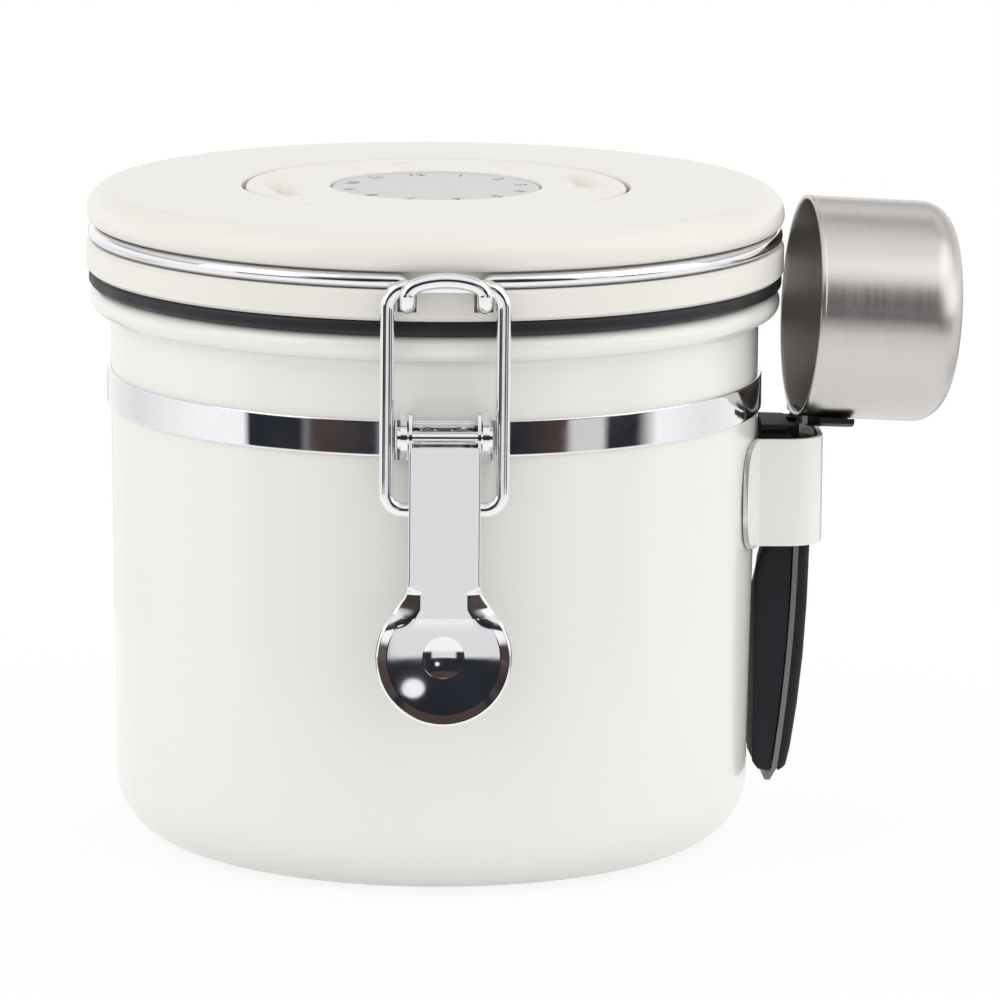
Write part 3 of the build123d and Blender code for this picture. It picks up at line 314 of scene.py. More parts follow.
def piece(name: str, surface: Surface, material: Material, body: str,
          replaces: tuple[str, ...] = (), sharp_deg: float = 32.0) -> bpy.types.Object:
    """Make an object from a surface, give it its finish and fix it to a body.

    Args:
        name: the object's name.
        surface: closed surface in metres, in the row's frame.
        material: its finish.
        body: the body that it moves with.
        replaces: the nodes that it stands for.
        sharp_deg: edges that bend more than this stay sharp.

    Returns:
        The new object.
    """
    mesh = bpy.data.meshes.new(name)
    mesh.from_pydata(surface.points.tolist(), [], surface.quads.tolist() + surface.caps)
    mesh.validate()
    work = bmesh.new()
    work.from_mesh(mesh)
    bmesh.ops.recalc_face_normals(work, faces=work.faces)
    work.to_mesh(mesh)
    work.free()
    if surface.uv is not None:
        vertex = np.empty(len(mesh.loops), np.int32)
        mesh.loops.foreach_get("vertex_index", vertex)
        layer = mesh.uv_layers.new(name="shape")
        layer.data.foreach_set("uv", surface.uv[vertex].astype(np.float32).ravel())
    mesh.polygons.foreach_set("use_smooth", np.ones(len(mesh.polygons), bool))
    mesh.set_sharp_from_angle(angle=math.radians(sharp_deg))
    mesh.materials.append(material)
    thing = bpy.data.objects.new(name, mesh)
    bpy.context.scene.collection.objects.link(thing)
    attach(thing, body)
    if replaces:
        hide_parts(*replaces)
    log.info("%s: %d faces on %s", name, len(mesh.polygons), body)
    return thing


class Nodes:
    """A node tree, with short ways to add and join its nodes."""

    def __init__(self, tree: bpy.types.NodeTree) -> None:
        """Take a tree.

        Args:
            tree: the nodes of a material or of the world.
        """
        self.tree = tree

    def add(self, kind: str, **settings: object) -> bpy.types.Node:
        """Add a node and set its own settings."""
        node = self.tree.nodes.new(kind)
        for key, value in settings.items():
            setattr(node, key, value)
        return node

    def link(self, source: Socket, target: Socket) -> None:
        """Join two sockets."""
        self.tree.links.new(source, target)

    def mixed(self, share: Socket, first: object, second: object) -> Socket:
        """Mix two colours.

        Args:
            share: 0 gives the first colour and 1 the second.
            first: a socket, or a constant colour.
            second: a socket, or a constant colour.

        Returns:
            The mixed colour's socket.
        """
        node = self.add("ShaderNodeMix", data_type="RGBA")
        self.link(share, node.inputs[0])
        for place, colour in ((6, first), (7, second)):
            if isinstance(colour, tuple):
                node.inputs[place].default_value = (*colour, 1)
            else:
                self.link(colour, node.inputs[place])
        return node.outputs[2]

    def calc(self, operation: str, first: object, second: object = 0.0) -> Socket:
        """A sum, product or other simple step of two values, each a socket or a number."""
        node = self.add("ShaderNodeMath", operation=operation)
        for i, value in enumerate((first, second)):
            if isinstance(value, Socket):
                self.link(value, node.inputs[i])
            else:
                node.inputs[i].default_value = value
        return node.outputs[0]

    def either(self, share: Socket, first: Socket, second: Socket) -> Socket:
        """The first shader where the share is 0, and the second where it is 1."""
        node = self.add("ShaderNodeMixShader")
        for place, socket in enumerate((share, first, second)):
            self.link(socket, node.inputs[place])
        return node.outputs[0]


class Recipe(Nodes):
    """The nodes of one material, with the shader's own sockets set by name."""

    def __init__(self, name: str, **sockets: float | tuple) -> None:
        """Start a material and set its shader's constant sockets.

        Args:
            name: the material's name.
            sockets: socket values, with spaces in the names written as underscores.
        """
        self.material = bpy.data.materials.new(name)
        self.material.use_nodes = True
        super().__init__(self.material.node_tree)
        self.shader = self.tree.nodes["Principled BSDF"]
        for key, value in sockets.items():
            self.shader.inputs[key.replace("_", " ")].default_value = value
        self.place = self.add("ShaderNodeTexCoord").outputs["Object"]

    def noise(self, scale: float, detail: float = 3.0, stretch: tuple[float, float, float] = (1, 1, 1),
              coordinates: Socket | None = None) -> Socket:
        """A noise pattern.

        Args:
            scale: waves in a metre.
            detail: octaves.
            stretch: a factor on each axis before the noise.
            coordinates: what it reads, or the object's own place.

        Returns:
            The noise's value socket.
        """
        mapping = self.add("ShaderNodeMapping")
        mapping.inputs["Scale"].default_value = stretch
        self.link(coordinates or self.place, mapping.inputs["Vector"])
        node = self.add("ShaderNodeTexNoise")
        node.inputs["Scale"].default_value = scale
        node.inputs["Detail"].default_value = detail
        self.link(mapping.outputs["Vector"], node.inputs["Vector"])
        return node.outputs["Fac"]

    def spread(self, value: Socket, low: float, high: float,
               start: float = 0.3, end: float = 0.7) -> Socket:
        """Bring a value from start..end to low..high."""
        node = self.add("ShaderNodeMapRange")
        for key, number in (("From Min", start), ("From Max", end), ("To Min", low), ("To Max", high)):
            node.inputs[key].default_value = number
        self.link(value, node.inputs["Value"])
        return node.outputs["Result"]

    def distance(self, *axes: int) -> Socket:
        """Distance from the object's origin along the given axes, in metres."""
        flat = self.add("ShaderNodeVectorMath", operation="MULTIPLY")
        flat.inputs[1].default_value = [float(i in axes) for i in range(3)]
        self.link(self.place, flat.inputs[0])
        reach = self.add("ShaderNodeVectorMath", operation="LENGTH")
        self.link(flat.outputs["Vector"], reach.inputs[0])
        return reach.outputs["Value"]

    def finished(self, finish: object, tint: Socket, rough: Socket,
                 *layers: tuple[Socket, float, float]) -> Material:
        """Join colour, roughness and relief to the shader.

        Args:
            finish: holds the dark and the light colour.
            tint: 0 gives the dark colour and 1 the light one.
            rough: the roughness.
            layers: patterns that raise the surface, with strength and height in metres.

        Returns:
            The material.
        """
        self.link(self.mixed(tint, finish.dark, finish.light), self.shader.inputs["Base Color"])
        self.link(rough, self.shader.inputs["Roughness"])
        normal = None
        for value, strength, height in layers:
            node = self.add("ShaderNodeBump")
            node.inputs["Strength"].default_value = strength
            node.inputs["Distance"].default_value = height
            self.link(value, node.inputs["Height"])
            if normal is not None:
                self.link(normal, node.inputs["Normal"])
            normal = node.outputs["Normal"]
        self.link(normal, self.shader.inputs["Normal"])
        return self.material


@dataclass(frozen=True)
class Enamel:
    """Baked cream enamel on the can and its strap: glossy, with a faint orange-peel surface."""

    name: str = "cream enamel"
    light: tuple = (0.85, 0.845, 0.8)
    dark: tuple = (0.825, 0.82, 0.775)
    peel_scale: float = 700.0
    cloud_scale: float = 18.0
    roughness: tuple = (0.2, 0.26, 0.0, 1.0)
    relief: tuple = (0.1, 0.02 * MM)

    def material(self) -> Material:
        """Build the enamel's material."""
        recipe = Recipe(self.name, Coat_Weight=0.3, Coat_Roughness=0.16)
        clouds = recipe.noise(self.cloud_scale)
        rough = recipe.spread(clouds, *self.roughness)
        return recipe.finished(self, clouds, rough, (recipe.noise(self.peel_scale, 2.0), *self.relief))


@dataclass(frozen=True)
class Moulding:
    """Injection-moulded plastic with slight flow clouds and a fine grain."""

    name: str
    light: tuple
    dark: tuple
    sheen: Sheen = Sheen.GLOSS
    grain_scale: float = 1400.0
    grain_height: float = 0.02

    def material(self) -> Material:
        """Build the plastic's material."""
        low, high = self.sheen.value
        recipe = Recipe(self.name, IOR=1.49 if self.sheen is not Sheen.RUBBERY else 1.36)
        clouds = recipe.noise(24.0, 4.0)
        grain = recipe.noise(self.grain_scale, 3.0)
        rough = recipe.spread(clouds, low, high, 0.0, 1.0)
        return recipe.finished(self, clouds, rough, (grain, 0.15, self.grain_height * MM))


@dataclass(frozen=True)
class Plating:
    """Bright plated steel: mirror-like, with the slight waves of pressed sheet and fine pits."""

    name: str = "bright plating"
    light: tuple = (0.93, 0.93, 0.945)
    dark: tuple = (0.86, 0.86, 0.88)
    wave_scale: float = 55.0
    pit_scale: float = 1800.0
    stain_scale: float = 160.0
    roughness: tuple = (0.03, 0.1)
    wave_relief: tuple = (0.6, 0.04 * MM)
    pit_relief: tuple = (0.08, 0.01 * MM)

    def material(self) -> Material:
        """Build the plating's material."""
        recipe = Recipe(self.name, Metallic=1.0)
        waves = recipe.noise(self.wave_scale, 2.0)
        pits = recipe.noise(self.pit_scale, 2.0)
        rough = recipe.spread(recipe.noise(self.stain_scale, 5.0), *self.roughness)
        return recipe.finished(self, pits, rough, (waves, *self.wave_relief), (pits, *self.pit_relief))


@dataclass(frozen=True)
class Silicone:
    """Soft rubber with a dull, finely grained skin."""

    name: str
    light: tuple
    dark: tuple
    grain_scale: float = 1100.0
    dust_scale: float = 140.0
    roughness: tuple = (0.38, 0.55)
    relief: tuple = (0.3, 0.03 * MM)

    def material(self) -> Material:
        """Build the rubber's material."""
        recipe = Recipe(self.name, Specular_IOR_Level=0.4)
        grain = recipe.noise(self.grain_scale, 4.0)
        dust = recipe.noise(self.dust_scale, 5.0)
        return recipe.finished(self, dust, recipe.spread(dust, *self.roughness), (grain, *self.relief))


@dataclass(frozen=True)
class BrushedSheet:
    """Brushed stainless steel. The brushing runs round the piece, so the streaks vary along its length."""

    name: str = "brushed stainless"
    light: tuple = (0.74, 0.705, 0.68)
    dark: tuple = (0.56, 0.535, 0.515)
    streaks: float = 420.0
    lengthwise: bool = False
    roughness: tuple = (0.29, 0.36)
    relief: tuple = (0.25, 0.02 * MM)

    def material(self) -> Material:
        """Build the steel's material from the piece's own map, with u along the axis and v round it."""
        recipe = Recipe(self.name, Metallic=1.0, Anisotropic=0.75 if self.lengthwise else 0.3)
        if self.lengthwise:
            coordinates = recipe.add("ShaderNodeUVMap", uv_map="shape").outputs["UV"]
            fine = recipe.noise(1.0, 4.0, (self.streaks, 6.0, 1.0), coordinates)
            broad = recipe.noise(1.0, 3.0, (self.streaks / 8, 2.0, 1.0), coordinates)
            tangent = recipe.add("ShaderNodeTangent", direction_type="UV_MAP", uv_map="shape")
            recipe.link(tangent.outputs["Tangent"], recipe.shader.inputs["Tangent"])
        else:
            fine = recipe.noise(1500.0, 4.0, (1, 1, 0.03))
            broad = recipe.noise(300.0, 3.0, (1, 1, 0.05))
        return recipe.finished(self, fine, recipe.spread(broad, *self.roughness), (fine, *self.relief))


@dataclass(frozen=True)
class SatinPlate:
    """Silvered face of the number disc, spun so that faint rings run round its middle."""

    name: str = "silver dial face"
    light: tuple = (0.8, 0.8, 0.8)
    dark: tuple = (0.69, 0.69, 0.695)
    ring_scale: float = 2500.0
    roughness: tuple = (0.38, 0.5)
    relief: tuple = (0.2, 0.02 * MM)

    def material(self) -> Material:
        """Build the disc's material: rings follow the distance from the Z axis."""
        recipe = Recipe(self.name, Metallic=0.55)
        node = recipe.add("ShaderNodeTexNoise", noise_dimensions="1D")
        node.inputs["Scale"].default_value = self.ring_scale
        recipe.link(recipe.distance(0, 1), node.inputs["W"])
        rings = node.outputs["Fac"]
        rough = recipe.spread(recipe.noise(200.0), *self.roughness)
        return recipe.finished(self, rings, rough, (rings, *self.relief))


@dataclass(frozen=True)
class Ink:
    """Dark print on the number disc."""

    name: str = "dial print"
    light: tuple = (0.2, 0.2, 0.21)
    dark: tuple = (0.14, 0.14, 0.15)
    grain_scale: float = 2500.0
    roughness: tuple = (0.4, 0.6)
    relief: tuple = (0.1, 0.01 * MM)

    def material(self) -> Material:
        """Build the print's material."""
        recipe = Recipe(self.name)
        grain = recipe.noise(self.grain_scale)
        return recipe.finished(self, grain, recipe.spread(grain, *self.roughness), (grain, *self.relief))


class Finishes:
    """All materials of the canister, each built once."""

    def __init__(self) -> None:
        """Build every material."""
        self.enamel = Enamel().material()
        self.lid = Moulding("warm white lid", (0.84, 0.815, 0.765), (0.815, 0.79, 0.74)).material()
        self.valve = Moulding("valve plastic", (0.82, 0.82, 0.79), (0.78, 0.78, 0.75),
                              Sheen.SATIN).material()
        self.grip = Moulding("black grip", (0.014, 0.016, 0.021), (0.007, 0.008, 0.011), Sheen.RUBBERY,
                             900.0, 0.05).material()
        self.plating = Plating().material()
        self.gasket = Silicone("black gasket", (0.014, 0.015, 0.018), (0.006, 0.007, 0.009)).material()
        self.flap = Silicone("white silicone", (0.8, 0.8, 0.77), (0.74, 0.74, 0.71)).material()
        self.cup = BrushedSheet(lengthwise=True).material()
        self.strip = BrushedSheet("brushed strip", (0.3, 0.29, 0.28), (0.16, 0.155, 0.15)).material()
        self.steel = BrushedSheet("plain steel", (0.6, 0.6, 0.6), (0.5, 0.5, 0.5)).material()
        self.spring = BrushedSheet("dark spring steel", (0.2, 0.2, 0.21), (0.12, 0.12, 0.13)).material()
        self.dial = SatinPlate().material()
        self.ink = Ink().material()


@dataclass
class Can:
    """The enamelled can and the strap at its side."""

    finishes: Finishes
    radius: float = 62.0 * MM
    base_radius: float = 60.9 * MM
    wall: float = 0.8 * MM
    corner: float = 12.0 * MM
    straight_z: float = 82.0 * MM
    neck_z: float = 101.0 * MM
    bead_z: float = 104.3 * MM
    bead_radius: float = 2.4 * MM
    bead_centre: float = 63.6 * MM
    neck_round: float = 1.2 * MM
    lip_drop: float = 3.0 * MM
    lip_round: float = 0.9 * MM
    strap_low: float = 57.8 * MM
    strap_height: float = 20.8 * MM
    strap_thickness: float = 1.0 * MM
    strap_outer_x: float = 74.5 * MM
    strap_half: float = 12.8 * MM
    strap_lead: float = 1.25 * MM
    strap_flange_deg: float = 8.0
    strap_bend: float = 6.5 * MM
    strap_root_bend: float = 1.3 * MM
    strap_end_curve: float = 33.0 * MM
    strap_gap: float = 0.05 * MM
    strap_corner: float = 3.2 * MM
    strap_taper: float = 0.8 * MM
    strap_taper_run: float = 9.0 * MM
    strap_edge: float = 0.22 * MM
    weld_radius: float = 1.7 * MM
    weld_depth: float = 0.16 * MM
    weld_inset: float = 4.2 * MM
    weld_shares: tuple[float, float] = (0.32, 0.68)

    def profile(self) -> Array:
        """The can's section, from the middle of its underside up the outside and down the inside."""
        r, wall, corner, top = self.base_radius, self.wall, self.corner, self.bead_z + self.bead_radius
        neck, bore, bead = [self.radius, self.neck_z - MM], self.radius - wall, self.bead_centre
        side = np.array([[r, corner], [self.radius, self.straight_z], neck])
        return np.vstack([
            [[0, 0], [0.5 * r, 0]], arc((r - corner, corner), corner, -90, 0, 20), even(side, 6 * MM)[1:],
            rounded([neck, [self.radius, self.neck_z], [bead, self.bead_z - self.bead_radius]],
                    self.neck_round)[1:],
            arc((bead, self.bead_z), self.bead_radius, -90, 90, 20)[1:],
            rounded([[bead, top], [bore, top], [bore, top - self.lip_drop]], self.lip_round)[1:],
            [[bore, self.straight_z], [r - wall, corner]],
            arc((r - corner, corner), corner - wall, 0, -90, 16)[1:], [[0, wall]],
        ])

    def strap_line(self) -> Array:
        """Half of the strap's middle line in plan, from its free end to the outer face's middle."""
        reach = self.radius + self.strap_gap + self.strap_thickness / 2
        y = self.strap_half - self.strap_thickness / 2
        root = math.asin((y + self.strap_lead) / reach)
        flange = -np.linspace(root + math.radians(self.strap_flange_deg), root, 10)
        hug = stacked(reach * np.cos(flange), reach * np.sin(flange))
        ahead = np.array([math.sin(root), math.cos(root)]) * self.strap_lead / math.cos(root)
        bend = hug[-1] + ahead
        corner_x = self.strap_outer_x - self.strap_thickness / 2
        leg = rounded([hug[-1], bend, [corner_x, bend[1]], [corner_x, 0]],
                      [0, self.strap_root_bend, self.strap_bend, 0])
        return np.vstack([hug[:-1], leg])

    def strap(self) -> Surface:
        """The strap: a rounded flat section carried along its line, with bowed free ends.

        The section is an upright rounded rectangle. At height h off the middle the line starts
        late by R - sqrt(R^2 - h^2), R being the radius of the bowed end, and in the corner by
        as much again of the corner's own radius. Spot welds sink the flange by depth times
        exp(-(distance / radius)^4).
        """
        half = even(self.strap_line(), 0.7 * MM)
        line = np.vstack([half, (half * [1, -1])[::-1][1:]])
        length = np.concatenate([[0], np.cumsum(np.linalg.norm(np.diff(line, axis=0), axis=1))])
        tangent = unit(np.gradient(line, axis=0))
        t, h = self.strap_thickness / 2, self.strap_height / 2
        section = rounded([[t, -h], [t, h], [-t, h], [-t, -h]], self.strap_edge, closed=True, steps=3)
        section = even(section, EDGE_STEP, closed=True)
        late = self.strap_end_curve - np.sqrt(self.strap_end_curve ** 2 - section[:, 1] ** 2)
        edge = np.clip(np.abs(section[:, 1]) - (h - self.strap_corner), 0, self.strap_corner)
        late += self.strap_corner - np.sqrt(self.strap_corner ** 2 - edge ** 2)
        share = (length / length[-1])[:, None]
        at = late[None] + share * (length[-1] - 2 * late[None])
        centre, along = (np.stack([np.interp(at, length, rows[:, i]) for i in (0, 1)], -1)
                         for rows in (line, tangent))
        along = unit(along)
        out = stacked(along[..., 1], -along[..., 0])
        offset = np.broadcast_to(section[None, :, 0], at.shape).copy()
        near_end = 1 - smooth_step(np.minimum(at, length[-1] - at), 0, self.strap_taper_run)
        z = section[None, :, 1] * (1 - near_end * self.strap_taper / h) + self.strap_low + h
        for weld_share in self.weld_shares:
            for weld_s in (self.weld_inset, length[-1] - self.weld_inset):
                far = np.hypot(at - weld_s, z - (self.strap_low + weld_share * self.strap_height))
                offset -= np.where(offset > 0, self.weld_depth * np.exp(-(far / self.weld_radius) ** 4), 0)
        plan = centre + out * offset[..., None]
        return grid(np.concatenate([plan, z[..., None]], -1), wrap_v=True, cap=True)

    def build(self) -> None:
        """Make the can and its strap."""
        piece("can_shell", revolved(self.profile(), ROUND), self.finishes.enamel, "canister",
              ("canister_body",))
        piece("side_strap", self.strap(), self.finishes.enamel, "canister", ("scoop_strap",))


@dataclass
class Band:
    """The plated band round the can, with its brackets, pin and rivets."""

    finishes: Finishes
    inner: float = 62.05 * MM
    outer: float = 62.75 * MM
    low: float = 83.9 * MM
    height: float = 6.7 * MM
    edge: float = 0.22 * MM

    def build(self) -> None:
        """Make the band and finish the small hardware on it."""
        loop = band_loop(self.inner, self.outer, self.low, self.low + self.height, self.edge, 5)
        band = revolved(even(loop, EDGE_STEP, closed=True), ROUND, closed=True)
        piece("band", band, self.finishes.plating, "canister", ("clamp_band",))
        for node in ("latch_bracket", "latch_pin", "hinge_bracket", "band_rivets"):
            dress(node, self.finishes.plating)


def dress(node: str, material: Material) -> None:
    """Give a carried-over node its finish."""
    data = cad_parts[node].data
    data.materials.clear()
    data.materials.append(material)
    log.info("%s: finished with %s", node, material.name)


@dataclass
class Latch:
    """The lever that turns in the front bracket, and the wire loop that it pulls down."""

    finishes: Finishes
    pin_y: float = -68.4 * MM
    pin_z: float = 88.6 * MM
    half_width: float = 6.6 * MM
    sheet: float = 0.9 * MM
    front_y: float = -71.6 * MM
    wall_depth: float = 6.4 * MM
    corner: float = 0.4 * MM
    inner_corner: float = 0.2 * MM
    tip_sheet: float = 0.6 * MM
    neck_low: float = 55.6 * MM
    web_top: float = 87.3 * MM
    depth_z: tuple = (0.0556, 0.0590, 0.0606, 0.0625, 0.0660, 0.0700, 0.0750)
    depths: tuple = (0.0017, 0.0017, 0.0022, 0.0030, 0.0050, 0.0060, 0.0064)
    half_z: tuple = (0.0556, 0.0570, 0.0582, 0.0592, 0.0602, 0.0614, 0.0630, 0.0873)
    halves: tuple = (0.0098, 0.0090, 0.0081, 0.0074, 0.0069, 0.0067, 0.0066, 0.0066)
    fold_x: float = 4.3 * MM
    fold_end: float = 53.4 * MM
    fold_low: float = 57.6 * MM
    fold_high: float = 60.2 * MM
    fold_slope: float = 0.38
    fold_soft: float = 0.25 * MM
    fold_turn: float = 75.0
    knuckle: float = 3.2 * MM
    tip_rise: float = 2.9 * MM
    tip_radius: float = 2.1 * MM
    tip_inset: float = 0.02 * MM
    tip_gap: float = 0.01 * MM
    disc_z: float = 48.2 * MM
    disc_radius: float = 12.5 * MM
    disc_tilt_deg: float = 4.0
    disc_y: float = -71.94 * MM
    disc_rim: float = 0.8 * MM
    rim_roll: float = 0.45 * MM
    rim_edge: float = 0.5 * MM
    rim_turns: tuple = (36, 56, 90, 112, 135, 180)
    rim_climbs: tuple = (0.0, 1.0, 1.0, 0.85, 0.75, 0.6)
    dish_radius: float = 10.5 * MM
    bowl_depth: float = 0.95 * MM
    pit_radius: float = 3.9 * MM
    pit_depth: float = 0.5 * MM
    loop_radius: float = 1.4 * MM
    loop_half: float = 10.6 * MM
    loop_low: tuple[float, float] = (-67.2 * MM, 75.0 * MM)
    loop_high: tuple[float, float] = (-68.7 * MM, 116.5 * MM)
    loop_corner: float = 3.8 * MM
    loop_end: float = 4.0 * MM

    def channel(self) -> Surface:
        """The lever's channel and neck: a U section carried down its length.

        A section runs down one wall, round a corner, across the web and up the other wall, then
        back along the inner side. Each of its points has x, y and its share of the wall's depth.
        Its half width flares towards the disc and its walls grow shallower there.
        """
        w, t, r = self.half_width, self.sheet, self.corner
        z = np.linspace(self.neck_low, self.web_top, 140)[:, None]
        depth = np.interp(z, self.depth_z, self.depths)
        half = np.interp(z, self.half_z, self.halves)
        wall, web = np.linspace(1, 0, 5)[:-1], np.linspace(-1, 1, 61)[1:-1]
        sides = []
        for size, y0, radius in ((w, 0.0, r), (w - t, t, max(r - t, self.inner_corner))):
            bend = arc((-size + radius, y0 + radius), radius, 180, 270, 8)
            flank = np.vstack([stacked(-size, y0 + radius, wall), stacked(bend[:, 0], bend[:, 1], 0.0)])
            middle = stacked(web * (size - radius), y0, 0.0)
            sides.append(np.vstack([flank, middle, flank[::-1] * [-1, 1, 1]]))
        across, back, grow = np.vstack([sides[0], sides[1][::-1]]).T[:, None]
        x = across * half / w
        y = self.front_y + back + grow * (depth - back) + self.fold(x, z)
        return grid(stacked(x, y, z), wrap_v=True, cap=True)

    def fold(self, x: Array, z: Array) -> Array:
        """How far the sheet falls away beside the neck.

        The fall is a slope times the distance outside the neck's edge, softened by a square root.
        The edge stands at fold_x, moves out by 2 times the height above fold_high and by half the
        depth below fold_low, and the fall fades away from fold_low down to fold_end.
        """
        edge = self.fold_x + 0.5 * np.maximum(self.fold_low - z, 0) + 2.0 * np.maximum(z - self.fold_high, 0)
        outside = np.abs(x) - edge
        fade = smooth_step(z, self.fold_end, self.fold_low)
        return fade * self.fold_slope * (outside + np.sqrt(outside ** 2 + self.fold_soft ** 2)) / 2

    def wall_tip(self, low_x: float, high_x: float) -> Surface:
        """The rounded upper end of one wall, round the pin."""
        centre = np.array([self.pin_y, self.pin_z])
        low, inset = self.web_top - MM, self.tip_inset
        knuckle, back = self.knuckle - inset, self.front_y + self.wall_depth
        outline = np.vstack([
            [[self.front_y + inset, low]], arc(centre, knuckle, 180, 150, 4),
            arc(centre + [0, self.tip_rise], self.tip_radius, 150, 30, 14),
            arc(centre, knuckle, 20, 0, 4), [[back - inset, low]],
        ])
        return upright(outline, low_x, high_x)

    def disc(self) -> Surface:
        """The dished thumb disc with its raised rim, open at the top where the neck runs in.

        Heights above the disc's plane follow the distance r from its middle: the bowl sinks by
        depth times (1 - (r / dish)^2), a wall climbs from the dish to the rim, steepest at the two
        sides, and the middle has a round pit that sinks by its depth times (1 - (r / pit)^2).
        """
        radius, dish, pit = self.disc_radius, self.dish_radius, self.pit_radius
        spans = ((0, pit - 0.4 * MM, 12), (pit - 0.3 * MM, pit + 0.3 * MM, 8),
                 (pit + 0.6 * MM, dish - 0.2 * MM, 20), (dish, radius, 24))
        rings = np.concatenate([np.linspace(*span) for span in spans])
        flat = revolved(np.vstack([stacked(rings, 0.0), stacked(rings[::-1], -self.sheet)]), 160)
        p = flat.points
        reach, off_top = np.hypot(p[:, 0], p[:, 1]), np.degrees(np.abs(np.arctan2(p[:, 0], p[:, 1])))
        bowl = self.bowl_depth * (1 - (np.minimum(reach, dish) / dish) ** 2)
        climb = np.interp(off_top, self.rim_turns, self.rim_climbs)
        rim = self.disc_rim * climb * np.clip((reach - dish) / (radius - dish), 0, 1)
        rim -= self.rim_roll * smooth_step(reach, radius - self.rim_edge, radius)
        cone = self.pit_depth * np.clip(1 - (reach / pit) ** 2, 0, 1)
        fold = self.fold(p[:, 0], self.disc_z + p[:, 1]) * (off_top < self.fold_turn)
        z, y = spun(p[:, 1], p[:, 2] + rim - bowl - cone - fold, -self.disc_tilt_deg)
        return flat.moved(stacked(p[:, 0], self.disc_y - y, self.disc_z + z))

    def loop(self) -> Surface:
        """The wire loop: a round wire along its rounded rectangle, open inside the lever."""
        (y0, z0), (y1, z1) = self.loop_low, self.loop_high
        w, e = self.loop_half, self.loop_end
        corners = [[e, y0, z0], [w, y0, z0], [w, y1, z1], [-w, y1, z1], [-w, y0, z0], [-e, y0, z0]]
        lower = (w - e) / 2
        path = rounded(corners, [0, lower, self.loop_corner, self.loop_corner, lower, 0], steps=14)
        return tube(even(path, WIRE_STEP), self.loop_radius, WIRE_SIDES)

    def build(self) -> None:
        """Make the lever and the loop."""
        near, far = self.half_width - self.tip_sheet, self.half_width - self.tip_gap
        lever = joined(self.channel(), self.wall_tip(-far, -near), self.wall_tip(near, far), self.disc())
        piece("lever", lever, self.finishes.plating, "latch_lever", ("latch_lever",))
        piece("wire_loop", self.loop(), self.finishes.plating, "latch_loop", ("latch_loop",))


